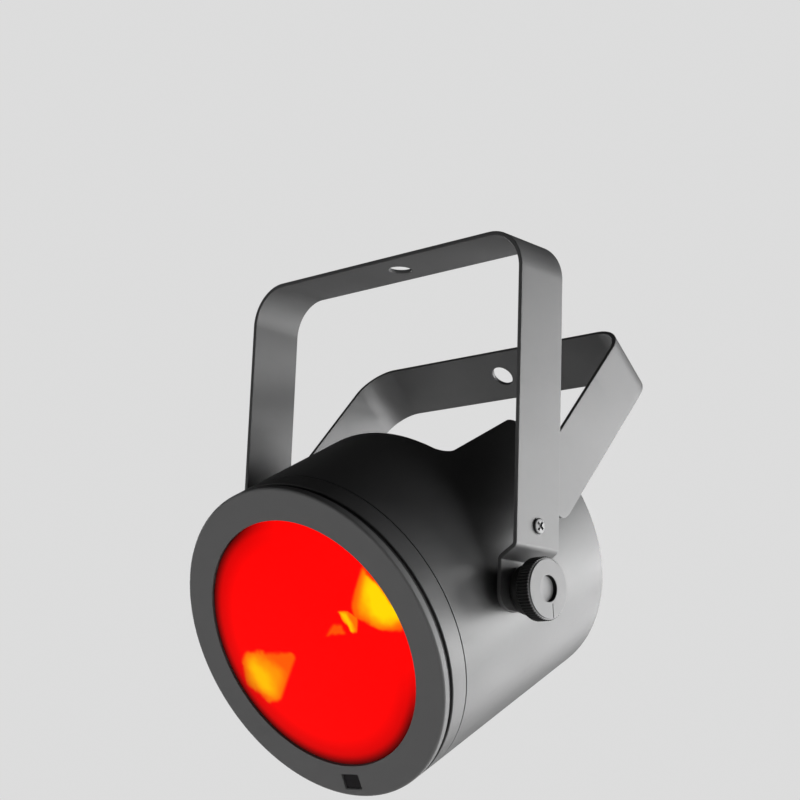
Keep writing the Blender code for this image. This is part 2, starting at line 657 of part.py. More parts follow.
# ---------------------------------------------------------------- rear panel
def rear_panel(mats, frame):
    """Round panel with its openings, the ring it is screwed to, and its four screws."""
    low, high = PANEL_Y, PANEL_BACK_Y
    rim = SHELL_INNER - GAP
    back = add("panel_ring", ring(0.0735, rim, low - 0.0035, low - GAP, segments=48),
               mats["aluminium"], frame)
    panel = add("rear_panel", disc(rim, low, high, segments=BIG_ROUND), mats["can_paint"], frame)
    under, over = low - 0.01, high + 0.01
    for centre in (DATA_IN, DATA_OUT):
        combine(panel, disc(DATA_RADIUS + GAP, under, over, segments=32, centre=centre), parent=frame)
    for centre in (MAINS_IN, MAINS_OUT):
        size = [side + 2 * GAP for side in MAINS_SIZE]
        combine(panel, block(*size, under, over, centre), parent=frame)
    combine(panel, disc(0.0063, under, over, segments=24, centre=FUSE), parent=frame)
    combine(panel, block(0.0126, 0.0056, under, over, DATA_PORT), parent=frame)
    window = [side - 0.002 for side in DISPLAY_SIZE]
    combine(panel, block(*window, under, over, DISPLAY), parent=frame)
    for across in BUTTONS.values():
        combine(panel, disc(0.0035, under, over, segments=20, centre=(across, BUTTON_Z)), parent=frame)
    for row in range(-2, 3):
        height = AIR_SLOT_PITCH * row
        length = 2 * math.sqrt(AIR_HOLE_RADIUS ** 2 - height ** 2)
        slot = block(length, 0.003, under, over, (0.0, height), 0.00149)
        combine(panel, slot, parent=frame)
    for index in range(4):
        angle = math.radians(90 * index)
        centre = (PANEL_SCREW_CIRCLE * math.sin(angle), PANEL_SCREW_CIRCLE * math.cos(angle))
        for piece in (back, panel):
            combine(piece, disc(0.0018, under, over, segments=12, centre=centre), parent=frame)
        profile = [(0.0, low - 0.003), (0.0015, low - 0.003), (0.0015, high + GAP),
                   (0.0029, high + GAP), (0.0029, high + 0.0010), (0.0020, high + 0.0019),
                   (0.0, high + 0.0021)]
        screw = add("panel_screw_" + str(index + 1), turned(profile, segments=12, centre=centre),
                    mats["steel"], frame)
        recess = [(centre[0] + first, centre[1] + second)
                  for first, second in cross_recess(0.0015, 0.00045)]
        combine(screw, prism(recess, high + 0.0010, high + 0.004), parent=frame)


def display_and_buttons(mats, frame):
    """Display behind its window, and four push buttons on the control board."""
    width, height = DISPLAY_SIZE
    edge = block(width + 0.008, height + 0.008, SEAT_Y, SEAT_Y + 0.0022, DISPLAY, 0.002)
    surround = add("display_frame", edge, mats["black_plastic"], frame)
    combine(surround, block(width, height, SEAT_Y - 0.01, SEAT_Y + 0.01, DISPLAY), parent=frame)
    window = block(width - 2 * GAP, height - 2 * GAP, SEAT_Y, SEAT_Y + 0.0012, DISPLAY)
    add("display_window", window, mats["window"], frame)
    add("display_module", block(width - 0.003, height - 0.003, 0.0136, PANEL_Y + 0.001, DISPLAY),
        mats["black_plastic"], frame)
    add("control_board", block(0.068, 0.046, 0.0116, 0.0132, (0.0, 0.0440), 0.003),
        mats["board"], frame)
    for label, across in BUTTONS.items():
        profile = [(0.0, 0.0146), (0.0017, 0.0146), (0.0017, 0.0180), (0.0046, 0.0180),
                   (0.0046, 0.0195), (0.0032, 0.0195), (0.0032, 0.0253), (0.0026, 0.0259),
                   (0.0, 0.0261)]
        add("button_" + label, turned(profile, segments=14), mats["button_plastic"], frame,
            (across, 0.0, BUTTON_Z))


def contact_circle(centre):
    """Places of the three contacts of a data socket, the first straight below its centre."""
    places = []
    for turn in (0, 120, 240):
        angle = math.radians(turn)
        places.append((centre[0] + DATA_PIN_CIRCLE * math.sin(angle),
                       centre[1] - DATA_PIN_CIRCLE * math.cos(angle)))
    return places


def data_connectors(mats, frame):
    """Three-pin sockets: the input has pins in a round well, the output has a release tab."""
    depth, mouth = DATA_Y, SEAT_Y + 0.002
    sockets = {}
    for name, centre in (("data_input", DATA_IN), ("data_output", DATA_OUT)):
        flange = block(0.026, 0.031, SEAT_Y, mouth, centre, 0.002)
        sockets[name] = add(name, flange, mats["dark_steel"], frame)
        barrel = disc(DATA_RADIUS, depth, mouth - 0.001, segments=32, centre=centre)
        combine(sockets[name], barrel, "UNION", frame)

    inlet = sockets["data_input"]
    well = disc(DATA_WELL_RADIUS, depth + 0.002, mouth + 0.01, segments=32, centre=DATA_IN)
    combine(inlet, well, parent=frame)
    for place in contact_circle(DATA_IN):
        pin = disc(0.0012, depth + 0.001, mouth - 0.0055, segments=10, centre=place)
        combine(inlet, pin, "UNION", frame)

    outlet = sockets["data_output"]
    combine(outlet, block(0.0062, 0.0040, depth + 0.006, mouth + 0.01, LATCH_CENTRE), parent=frame)
    for place in contact_circle(DATA_OUT):
        hole = disc(0.0014, depth + 0.003, mouth + 0.01, segments=10, centre=place)
        combine(outlet, hole, parent=frame)
    tab = block(0.0054, 0.0032, depth + 0.0085, mouth + 0.0022, (0.0, 0.0), 0.0006)
    add("data_release_tab", tab, mats["steel"], frame, (LATCH_CENTRE[0], 0.0, LATCH_CENTRE[1]))


def mains_connectors(mats, frame):
    """Appliance inlet with three blades in a well, and an outlet with three slots."""
    depth, mouth = MAINS_Y, SEAT_Y + 0.0022
    for name, centre in (("mains_inlet", MAINS_IN), ("mains_outlet", MAINS_OUT)):
        flange = block(0.0250, 0.0320, SEAT_Y, mouth, centre, 0.0025)
        body = add(name, flange, mats["black_plastic"], frame)
        combine(body, block(*MAINS_SIZE, depth, mouth - 0.001, centre), "UNION", frame)
        if name == "mains_inlet":
            well = block(0.0165, 0.0235, depth + 0.002, mouth + 0.01, centre, 0.0025)
            combine(body, well, parent=frame)
        for row in (-1, 0, 1):
            place = (centre[0] + (0.0035 if row == 0 else -0.0020), centre[1] + 0.0070 * row)
            if name == "mains_inlet":
                blade = block(0.0040, 0.0020, depth + 0.001, mouth - 0.0055, place)
                combine(body, blade, "UNION", frame)
            else:
                slot = block(0.0056, 0.0026, depth + 0.003, mouth + 0.01, place)
                combine(body, slot, parent=frame)


def small_fittings(mats, frame):
    """Fuse holder and cap, data port, and the eye for a safety cable."""
    seat = SEAT_Y
    holder = [(0.0036, 0.0050), (0.0060, 0.0050), (0.0060, seat), (0.0085, seat),
              (0.0085, seat + 0.0020), (0.0036, seat + 0.0020)]
    add("fuse_holder", turned(holder, segments=24, centre=FUSE), mats["black_plastic"], frame)
    base = seat + 0.0020 + GAP
    cap = [(0.0, 0.0180), (0.0032, 0.0180), (0.0032, base), (0.0070, base), (0.0070, base + 0.005),
           (0.0062, base + 0.0058), (0.0, base + 0.0058)]
    fuse_cap = add("fuse_cap", turned(cap, segments=24), mats["black_plastic"], frame,
                   (FUSE[0], 0.0, FUSE[1]))
    slot = block(0.0088, 0.0012, base + 0.0046, base + 0.01)
    combine(fuse_cap, slot, parent=frame, location=(FUSE[0], 0.0, FUSE[1]))
    add("fuse", disc(0.0025, 0.0060, 0.0177, segments=16, centre=FUSE), mats["window"], frame)

    port = add("data_port", block(0.0120, 0.0050, 0.0100, seat + 0.0006, DATA_PORT), mats["steel"],
               frame)
    combine(port, block(0.0108, 0.0038, 0.0120, seat + 0.01, DATA_PORT), parent=frame)
    tongue = block(0.0096, 0.0012, 0.0110, seat - 0.0010, (DATA_PORT[0], DATA_PORT[1] + 0.0007))
    combine(port, tongue, "UNION", frame)

    base_plate = block(0.022, 0.012, seat, seat + 0.002, SAFETY_EYE, 0.003)
    eye = add("safety_eye", base_plate, mats["steel"], frame)
    combine(eye, wire_loop(SAFETY_EYE, seat + 0.001, 0.0070, 0.0090, 0.0018), "UNION", frame)


def wire_loop(centre, base, radius, straight, wire):
    """An inverted U of round wire that stands on a face looking along +Y."""
    route = [(radius, 0.0), (radius, straight)]
    route += arc((0.0, straight), radius, 15, 165, 10)
    route += [(-radius, straight), (-radius, 0.0)]
    shape = bmesh.new()
    sections = []
    for index, (across, out) in enumerate(route):
        before = route[max(index - 1, 0)]
        after = route[min(index + 1, len(route) - 1)]
        tangent = Vector((after[0] - before[0], after[1] - before[1])).normalized()
        section = []
        for step in range(10):
            angle = math.tau * step / 10
            side = wire * math.cos(angle)
            section.append(shape.verts.new((centre[0] + across + tangent.y * side,
                                            base + out - tangent.x * side,
                                            centre[1] + wire * math.sin(angle))))
        sections.append(section)
    for one, two in zip(sections, sections[1:]):
        for step in range(10):
            after = (step + 1) % 10
            shape.faces.new((one[step], one[after], two[after], two[step]))
    shape.faces.new(sections[0])
    shape.faces.new(sections[-1])
    return to_mesh(shape)


# ---------------------------------------------------------------- tilt clamps
def tilt_clamp(mats, frame, side):
    """Threaded boss inside the shell, spacer, washer, and a knob with its stud on the tilt axis."""
    sign = SIDES[side]
    axis = (0.0, -CAN_LIFT)

    def span(low, high):
        return sorted((sign * low, sign * high))

    boss = ring(RUNNING, BOSS_RADIUS, *span(*BOSS_X), "X", 24, axis)
    add("pivot_boss_" + side, boss, mats["steel"], frame)
    tab_inner = YOKE_TAB_X - STRAP_THICKNESS
    spacer = ring(RUNNING, SPACER_RADIUS, *span(CAN_RADIUS + GAP, tab_inner - GAP), "X", 24, axis)
    add("clamp_spacer_" + side, spacer, mats["rubber"], frame)
    washer_out = YOKE_TAB_X + GAP + WASHER_THICKNESS
    washer = ring(RUNNING, WASHER_RADIUS, *span(YOKE_TAB_X + GAP, washer_out), "X", 24)
    add("clamp_washer_" + side, washer, mats["steel"], frame, (0.0, 0.0, -CAN_LIFT))

    face, neck, rear = KNOB_FACE_X, KNOB_NECK_X, washer_out + GAP
    floor = face - KNOB_RECESS_DEPTH
    edge, shoulder = 0.0008, face - KNOB_STEP
    profile = [(RUNNING, rear), (KNOB_NECK_RADIUS - 0.0007, rear), (KNOB_NECK_RADIUS, rear + 0.0008),
               (KNOB_NECK_RADIUS, neck), (KNOB_RADIUS - edge, neck), (KNOB_RADIUS, neck + edge),
               (KNOB_RADIUS, shoulder - edge), (KNOB_RADIUS - edge, shoulder),
               (KNOB_FACE_RADIUS, shoulder), (KNOB_FACE_RADIUS, face), (KNOB_RECESS_RADIUS, face),
               (KNOB_RECESS_RADIUS, floor), (0.0, floor), (0.0, KNOB_BORE_END),
               (RUNNING, KNOB_BORE_END)]
    profile = [(radius, sign * height) for radius, height in profile]
    ribbed = (5, 6)

    def ribs(index, step):
        return 1.0 - RIB_DEPTH if index in ribbed and step % 2 else 1.0

    knob = turned(profile, "X", 2 * KNOB_RIBS, wave=ribs)
    add("knob_" + side, knob, mats["knob_plastic"], frame, (0.0, 0.0, -CAN_LIFT), crease=25.0)
    tip, head = BOSS_X[0] + 0.0015, KNOB_BORE_END - GAP
    stud = [(0.0, sign * tip), (STUD_RADIUS - 0.0008, sign * tip), (STUD_RADIUS, sign * (tip + 0.001)),
            (STUD_RADIUS, sign * head), (0.0, sign * head)]
    add("knob_stud_" + side, turned(stud, "X", 24), mats["steel"], frame, (0.0, 0.0, -CAN_LIFT))


def build():
    clear_scene()
    mats = make_materials()
    can_pivot = empty("can_pivot", TILT_AXIS, tilt=CAN_TILT)
    can_axis = empty("can_axis", (0.0, 0.0, CAN_LIFT), can_pivot)
    fold_pivot = empty("fold_pivot", FOLD_AXIS, tilt=-FLOOR_LEAN)

    yoke_bracket(mats)
    floor_bracket(mats, fold_pivot)
    for side in SIDES:
        pivot_fasteners(mats, side)
        tilt_clamp(mats, can_axis, side)

    can_shell(mats, can_axis)
    front_bezel(mats, can_axis)
    front_pieces(mats, can_axis)
    reflector(mats, can_axis)
    light_engine(mats, can_axis)
    cooling_fan(mats, can_axis)
    power_electronics(mats, can_axis)
    led_lead(mats, can_axis)
    rear_panel(mats, can_axis)
    display_and_buttons(mats, can_axis)
    data_connectors(mats, can_axis)
    mains_connectors(mats, can_axis)
    small_fittings(mats, can_axis)
    bpy.context.view_layer.update()


build()
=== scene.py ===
import json
import math

import bmesh
import bpy
from mathutils import Matrix, Vector


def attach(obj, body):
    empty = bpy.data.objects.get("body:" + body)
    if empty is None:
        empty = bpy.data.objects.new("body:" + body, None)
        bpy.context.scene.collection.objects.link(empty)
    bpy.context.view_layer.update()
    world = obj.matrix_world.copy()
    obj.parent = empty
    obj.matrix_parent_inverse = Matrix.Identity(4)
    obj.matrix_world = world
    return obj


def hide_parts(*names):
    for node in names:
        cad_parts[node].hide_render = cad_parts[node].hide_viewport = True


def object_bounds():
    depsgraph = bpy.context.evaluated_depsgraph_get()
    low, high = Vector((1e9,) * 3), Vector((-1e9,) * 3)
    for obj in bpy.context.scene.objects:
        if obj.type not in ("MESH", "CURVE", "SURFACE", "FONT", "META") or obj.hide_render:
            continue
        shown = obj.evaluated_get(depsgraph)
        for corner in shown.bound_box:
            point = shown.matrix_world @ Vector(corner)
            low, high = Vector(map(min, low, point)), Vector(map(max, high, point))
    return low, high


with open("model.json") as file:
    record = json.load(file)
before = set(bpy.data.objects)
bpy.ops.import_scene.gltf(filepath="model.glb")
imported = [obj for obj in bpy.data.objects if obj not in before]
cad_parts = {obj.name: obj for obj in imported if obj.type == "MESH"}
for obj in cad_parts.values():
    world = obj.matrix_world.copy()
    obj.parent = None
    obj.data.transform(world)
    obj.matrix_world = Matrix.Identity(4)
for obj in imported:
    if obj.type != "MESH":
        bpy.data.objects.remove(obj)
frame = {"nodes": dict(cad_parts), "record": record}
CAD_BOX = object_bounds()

# ---------------------------------------------------------------- driving dimensions, metres
CAN_RADIUS = 0.0859
CAN_WALL = 0.0015
CAN_TILT = math.radians(29.2)
CAN_LIFT = 0.002              # the can's axis above the tilt axis
FACE_Y = -0.0642              # front face of the bezel
RIM_Y = 0.0812                # rear rim of the skirt
SEAM_Y = -0.0460              # seam between the collar and the shell
GROOVE_FRONT_Y = -0.0600
GROOVE_REAR_Y = -0.0572
LENS_OPENING_RADIUS = 0.0684
LENS_RADIUS = 0.0750
LENS_FRONT = 0.0011           # rim of the lens's front, behind the bezel's face
LENS_DOME = 0.0005
LENS_FLANGE = 0.0033          # front of the flange that the bezel holds
BEZEL_FACE_RADIUS = 0.0843
BEZEL_CORNER_DEPTH = 0.0013
BEZEL_INNER_RADIUS = 0.0780
BEZEL_LIP = 0.003             # thickness of the bezel's face
RING_INNER_RADIUS = 0.0783    # inside of the gasket and of the collar's front
GASKET_RADIUS = 0.0846
SPIGOT_INNER_RADIUS = 0.0822  # the collar's spigot enters the shell
SPIGOT_LENGTH = 0.010
NOTCH_HALF_WIDTH = 0.0527
NOTCH_FRONT_Y = 0.0206
NOTCH_INNER_FILLET = 0.0085
NOTCH_MOUTH_FILLET = 0.0045
IR_CENTRE = (-0.003, -0.0774)
IR_WINDOW = (0.0109, 0.0077)
IR_WINDOW_DEPTHS = (0.0009, 0.0019)
IR_POCKET = (0.0115, 0.0083)
IR_POCKET_LIP = (0.0122, 0.0090)

STRAP_WIDTH = 0.034
STRAP_THICKNESS = 0.0024
STRAP_EDGE = 0.00045          # rounding of the straps' edges
BEND_STEP = math.radians(5)
YOKE_HALF_WIDTH = 0.1026
YOKE_DROP = 0.1875            # tilt axis below the top of the yoke
YOKE_BEND = 0.023
YOKE_TAB_X = 0.0929
YOKE_TAB_BOTTOM = -0.0112     # from the tilt axis
YOKE_TAB_CORNER = 0.0085
JOGGLE_TOP = 0.0208
JOGGLE_BOTTOM = 0.0148
JOGGLE_BEND = 0.0022
CLAMP_HOLE_RADIUS = 0.0065

FOLD_HEIGHT = 0.0318          # pivot screws above the tilt axis
FLOOR_LEAN = math.radians(39.8)
FLOOR_HALF_WIDTH = 0.0984
FLOOR_REACH = 0.1457
FLOOR_BEND = 0.020
FLOOR_TAB_RADIUS = 0.010
FLOOR_SHOULDER = (0.0205, 0.0285)

KNOB_RADIUS = 0.016
KNOB_FACE_RADIUS = 0.0148
KNOB_STEP = 0.0008            # the face stands proud of the ribbed rim
KNOB_RECESS_RADIUS = 0.0066
KNOB_RECESS_DEPTH = 0.0021
KNOB_FACE_X = 0.1099
KNOB_NECK_X = 0.1014
KNOB_NECK_RADIUS = 0.0124
KNOB_BORE_END = 0.1053
KNOB_RIBS = 60
RIB_DEPTH = 0.034             # share of the knob's radius
POINTER = ((-0.0008, -0.0079), (-0.0002, -0.0079), (-0.0029, -0.0145), (-0.0035, -0.0145))
CLAMP_WASHER = 0.0012         # thickness
STUD_RADIUS = 0.004
STUD_ENDS = (0.0725, 0.1050)
THREAD_PITCH = 0.00125
SCREW_RADIUS = 0.0024
SCREW_HEAD_RADIUS = 0.0041
SCREW_HEAD_HEIGHT = 0.0012
SCREW_RECESS_FLOOR = 0.0003   # above the yoke's face
SCREW_CROSS = (0.0027, 0.0007)
SCREW_CROSS_TURN = -35.0
FRICTION_WASHER = 0.0018      # room that the friction washer takes between the straps
SCREW_PAST_STRAPS = 0.0055
GAP = 0.0003
RUNNING = STUD_RADIUS + GAP
SIDES = {"right": 1, "left": -1}

DISPLAY_CENTRE = (0.0, 0.050)
DISPLAY_REAR_Y = 0.0248
DIGIT_SIZE = (0.0042, 0.0080)
DIGIT_PITCH = 0.0072
DIGIT_BAR = 0.0008
DIGIT_GAP = 0.0001
DIGIT_TEXT = "0001"
SEGMENTS = {"0": "abcdef", "1": "bc"}   # lettered clockwise from the top bar

SOFT_EDGE = 0.00022           # rounding of the pieces that are copied from the frame
SHARP_ANGLE = math.radians(28.0)
BEVEL_ANGLE = math.radians(35.0)

# Painted glints in the lens: amber patches that stand for reflections, each of one or more layers that
# add up:
# strength, softness of the edge, and corners that run clockwise. In millimetres across and up from the
# optical axis.
PAINTED_GLINTS = (
    ((0.42, 1.6, ((45.5, 31.0), (53.0, 39.0), (72.0, 12.0), (67.0, 5.5), (53.0, 5.5), (37.0, 13.0),
                  (38.0, 20.0))),
     (0.32, 3.4, ((48.0, 30.0), (55.0, 38.0), (74.0, 12.0), (63.0, 8.0), (49.0, 8.5), (41.0, 17.0))),
     (0.28, 4.6, ((49.0, 29.0), (58.0, 36.0), (77.0, 14.0), (64.0, 10.0), (52.0, 11.0), (47.0, 18.0)))),
    ((0.50, 0.9, ((26.5, 16.5), (33.0, 17.5), (39.5, 13.5), (35.5, 5.0), (32.5, 5.0))),
     (0.42, 1.5, ((27.5, 16.5), (33.0, 16.0), (34.0, 5.5), (32.2, 5.2)))),
    ((0.36, 1.4, ((14.0, 5.0), (21.0, 10.5), (27.0, 10.5), (28.0, 5.0))),),
    ((0.40, 1.7, ((-58.5, -9.5), (-51.0, -2.5), (-16.0, -4.0), (-14.5, -7.5), (-37.0, -31.5),
                  (-47.5, -32.5), (-59.0, -19.0))),
     (0.26, 4.4, ((-55.0, -7.5), (-48.0, -3.0), (-36.0, -5.0), (-27.0, -16.0), (-38.0, -31.0),
                  (-46.0, -30.0), (-57.0, -20.0))),
     (0.22, 4.6, ((-51.0, -8.0), (-45.0, -7.5), (-37.0, -15.0), (-39.0, -27.0), (-45.0, -26.0),
                  (-53.0, -14.0)))),
)

# ---------------------------------------------------------------- stage, light and camera values
FLOOR_Z = CAD_BOX[0][2] - 0.33
FLOOR_HALF_SIZE = 3.0
BACKDROP = (0.72, 0.72, 0.72)
ROOM_LOW = (0.05, 0.05, 0.05)
ROOM_HIGH = (0.024, 0.024, 0.024)
ROOM_BLEND = (-0.25, 0.15)    # heights between which the room's tone changes

# Soft boxes that aim at the tilt axis: name, place, width and height, power in watts.
LIGHTS = (
    ("back_right", (0.52, 0.75, -0.20), (0.50, 0.20), 7.0),
    ("back_right_high", (0.52, 0.75, 0.10), (0.50, 0.20), 4.2),
    ("right_low", (0.80, 0.40, -0.45), (0.50, 0.30), 4.4),
    ("right", (0.90, 0.30, -0.20), (0.40, 0.20), 2.9),
    ("back_low", (0.20, 0.90, -0.45), (0.50, 0.30), 3.6),
    ("front_low", (-0.25, -0.90, -0.50), (0.60, 0.40), 4.4),
    ("left", (-1.20, 0.20, -0.15), (0.60, 0.40), 7.8),
)

CAMERA_LENS = 75.8
CAMERA_SENSOR = 36.0
CAMERA_PLACE = (0.6290, -0.6594, -0.0950 - YOKE_DROP)
CAMERA_RIGHT = (0.73049, 0.68201, 0.03524)
CAMERA_DOWN = (-0.12485, 0.18411, -0.97494)
CAMERA_FORWARD = (-0.67141, 0.70779, 0.21964)

# ---------------------------------------------------------------- what the frame says
BODIES = frame["record"]["behaviour"]["bodies"]
SLOTS = {part["node"]: part["material_slot"] for part in frame["record"]["subparts"]}
SOFTENED = ["rear_panel", "display_frame", "display_window", "data_input", "data_output",
            "data_release_tab", "mains_inlet", "mains_outlet", "fuse_holder", "fuse_cap",
            "data_port", "safety_eye", "button_menu", "button_down", "button_up", "button_enter",
            "panel_screw_1", "panel_screw_2", "panel_screw_3", "panel_screw_4",
            "friction_washer_right", "friction_washer_left", "lock_nut_right", "lock_nut_left",
            "clamp_spacer_right", "clamp_spacer_left", "clamp_washer_right", "clamp_washer_left"]

# ---------------------------------------------------------------- frames of the moving parts
TILT_FRAME = Matrix.Translation((0, 0, -YOKE_DROP)) @ Matrix.Rotation(CAN_TILT, 4, "X")
CAN_FRAME = TILT_FRAME @ Matrix.Translation((0, 0, CAN_LIFT))
YOKE_FRAME = Matrix.Translation((0, 0, -YOKE_DROP))
FOLD_FRAME = (Matrix.Translation((0, 0, FOLD_HEIGHT - YOKE_DROP))
              @ Matrix.Rotation(-FLOOR_LEAN, 4, "X"))
SCREW_FRAME = Matrix.Translation((0, 0, FOLD_HEIGHT - YOKE_DROP))


# ---------------------------------------------------------------- mesh helpers
def to_mesh(name, shape):
    bmesh.ops.recalc_face_normals(shape, faces=shape.faces)
    mesh = bpy.data.meshes.new(name)
    shape.to_mesh(mesh)
    shape.free()
    return mesh


def place(name, mesh, matrix, body, slot, stands_for=(), look=None):
    """Makes a piece of the object: it rides on a body and stands for the named CAD nodes."""
    mesh.shade_smooth()
    mesh.set_sharp_from_angle(angle=SHARP_ANGLE)
    mesh = evaluated(mesh, flat_faces_first)
    mesh.materials.clear()
    mesh.materials.append(MATERIALS[look or slot])
    piece = bpy.data.objects.new(name, mesh)
    bpy.context.scene.collection.objects.link(piece)
    piece.matrix_world = matrix
    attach(piece, body)
    if stands_for:
        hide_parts(*stands_for)


def evaluated(mesh, modify):
    """The mesh after the modifiers that modify(object) adds, as a plain mesh."""
    holder = bpy.data.objects.new("holder", mesh)
    bpy.context.scene.collection.objects.link(holder)
    helpers = modify(holder) or []
    graph = bpy.context.evaluated_depsgraph_get()
    result = bpy.data.meshes.new_from_object(holder.evaluated_get(graph))
    for helper in [holder] + helpers:
        bpy.data.objects.remove(helper)
    return result


def flat_faces_first(holder):
    """Shades large faces flat and lets the small faces of their rounded edges take the turn."""
    modifier = holder.modifiers.new("normals", "WEIGHTED_NORMAL")
    modifier.mode = "FACE_AREA"
    modifier.weight = 100
    modifier.keep_sharp = True


def carved(mesh, cutters):
    """The mesh with each cutter mesh removed from it."""
    def modify(holder):
        helpers = []
        for cutter in cutters:
            tool = bpy.data.objects.new("cutter", cutter)
            bpy.context.scene.collection.objects.link(tool)
            modifier = holder.modifiers.new("cut", "BOOLEAN")
            modifier.operation = "DIFFERENCE"
            modifier.solver = "EXACT"
            modifier.object = tool
            helpers.append(tool)
        return helpers
    return evaluated(mesh, modify)


def edged(mesh, width, segments=2):
    """The mesh with its sharp edges rounded."""
    def modify(holder):
        modifier = holder.modifiers.new("edges", "BEVEL")
        modifier.width = width
        modifier.segments = segments
        modifier.limit_method = "ANGLE"
        modifier.angle_limit = BEVEL_ANGLE
        modifier.use_clamp_overlap = False
        modifier.harden_normals = False
    return evaluated(mesh, modify)


def rounded(profile, radius, steps=4):
    """A closed profile with each corner replaced by a small arc; radius can be one per corner."""
    points = []
    count = len(profile)
    for index, corner in enumerate(profile):
        here = Vector(corner)
        into = Vector(profile[index - 1]) - here
        out = Vector(profile[(index + 1) % count]) - here
        size = radius[index] if isinstance(radius, (list, tuple)) else radius
        half = into.angle(out) / 2
        if size <= 0.0 or abs(half - math.pi / 2) < 0.02:
            points.append(tuple(here))
            continue
        reach = min(size / math.tan(half), into.length * 0.48, out.length * 0.48)
        size = reach * math.tan(half)
        start = here + into.normalized() * reach
        end = here + out.normalized() * reach
        centre = here + (into.normalized() + out.normalized()).normalized() * size / math.sin(half)
        for step in range(steps + 1):
            spoke = (start - centre).slerp(end - centre, step / steps).normalized()
            points.append(tuple(centre + spoke * size))
    return points


def turned(name, profile, axis="Y", segments=192, wave=None):
    """Solid of revolution from a closed profile of (radius, height); wave scales rings."""
    shape = bmesh.new()
    rings = []
    for radius, height in profile:
        count = 1 if radius < 1e-7 else segments
        ring = []
        for step in range(count):
            angle = math.tau * (step + 0.5) / segments
            reach = radius * (wave(radius, step / segments) if wave else 1.0)
            first, second = reach * math.sin(angle), reach * math.cos(angle)
            point = (first, height, second) if axis == "Y" else (height, first, second)
            ring.append(shape.verts.new(point))
        rings.append(ring)
    for one, two in zip(rings, rings[1:] + rings[:1]):
        if len(one) == 1 and len(two) == 1:
            continue
        for step in range(segments):
            after = (step + 1) % segments
            corners = [one[step % len(one)], one[after % len(one)],
                       two[after % len(two)], two[step % len(two)]]
            shape.faces.new(list(dict.fromkeys(corners)))
    return to_mesh(name, shape)


def prism(outline, low, high, axis="Y"):
    """A flat outline extruded along an axis."""
    def point(first, second, height):
        return {"X": (height, first, second), "Y": (first, height, second),
                "Z": (first, second, height)}[axis]
    shape = bmesh.new()
    bottom = [shape.verts.new(point(*spot, low)) for spot in outline]
    top = [shape.verts.new(point(*spot, high)) for spot in outline]
    shape.faces.new(bottom)
    shape.faces.new(top)
    for index in range(len(outline)):
        after = (index + 1) % len(outline)
        shape.faces.new((bottom[index], bottom[after], top[after], top[index]))
    return to_mesh("prism", shape)


def arc(centre, radius, start, end, steps):
    return [(centre[0] + radius * math.cos(math.radians(start + (end - start) * step / steps)),
             centre[1] + radius * math.sin(math.radians(start + (end - start) * step / steps)))
            for step in range(steps + 1)]


def rectangle(width, height, centre=(0.0, 0.0), corner=0.0002):
    half, tall = width / 2, height / 2
    corners = [(centre[0] + half, centre[1] + tall), (centre[0] + half, centre[1] - tall),
               (centre[0] - half, centre[1] - tall), (centre[0] - half, centre[1] + tall)]
    return rounded(corners, corner, 3)


# ---------------------------------------------------------------- materials
class Shader:
    """A Principled material and short ways to add nodes to it."""

    def __init__(self, name):
        self.material = bpy.data.materials.new(name)
        self.material.use_nodes = True
        self.tree = self.material.node_tree
        self.surface = self.tree.nodes["Principled BSDF"]
        self.place = self.tree.nodes.new("ShaderNodeTexCoord").outputs["Object"]

    def node(self, kind, **inputs):
        made = self.tree.nodes.new(kind)
        for key, value in inputs.items():
            self.feed(made.inputs[key.replace("_", " ")], value)
        return made

    def feed(self, socket, value):
        if isinstance(value, bpy.types.NodeSocket):
            self.tree.links.new(value, socket)
        else:
            socket.default_value = value

    def set(self, **inputs):
        for key, value in inputs.items():
            self.feed(self.surface.inputs[key.replace("_", " ")], value)
        return self

    def stretch(self, scale):
        mapping = self.node("ShaderNodeMapping", Vector=self.place)
        mapping.inputs["Scale"].default_value = scale
        return mapping.outputs["Vector"]

    def noise(self, scale, detail=3.0, rough=0.5, vector=None):
        made = self.node("ShaderNodeTexNoise", Vector=vector or self.place, Scale=scale,
                         Detail=detail, Roughness=rough)
        return made.outputs["Fac"]

    def math(self, operation, first, second=0.0):
        made = self.tree.nodes.new("ShaderNodeMath")
        made.operation = operation
        self.feed(made.inputs[0], first)
        self.feed(made.inputs[1], second)
        return made.outputs[0]

    def ranged(self, value, low, high, to_low, to_high, smooth=False):
        made = self.tree.nodes.new("ShaderNodeMapRange")
        made.interpolation_type = "SMOOTHSTEP" if smooth else "LINEAR"
        for index, item in enumerate((value, low, high, to_low, to_high)):
            self.feed(made.inputs[index], item)
        return made.outputs[0]

    def blend(self, share, first, second):
        made = self.tree.nodes.new("ShaderNodeMix")
        made.data_type = "RGBA"
        self.feed(made.inputs[0], share)
        self.feed(made.inputs[6], (*first, 1.0) if isinstance(first, tuple) else first)
        self.feed(made.inputs[7], (*second, 1.0) if isinstance(second, tuple) else second)
        return made.outputs[2]

    def bump(self, height, strength, distance, under=None):
        made = self.node("ShaderNodeBump", Height=height, Strength=strength, Distance=distance)
        if under is not None:
            self.feed(made.inputs["Normal"], under)
        return made.outputs["Normal"]


def shade(colour, factor):
    return tuple(min(channel * factor, 1.0) for channel in colour)


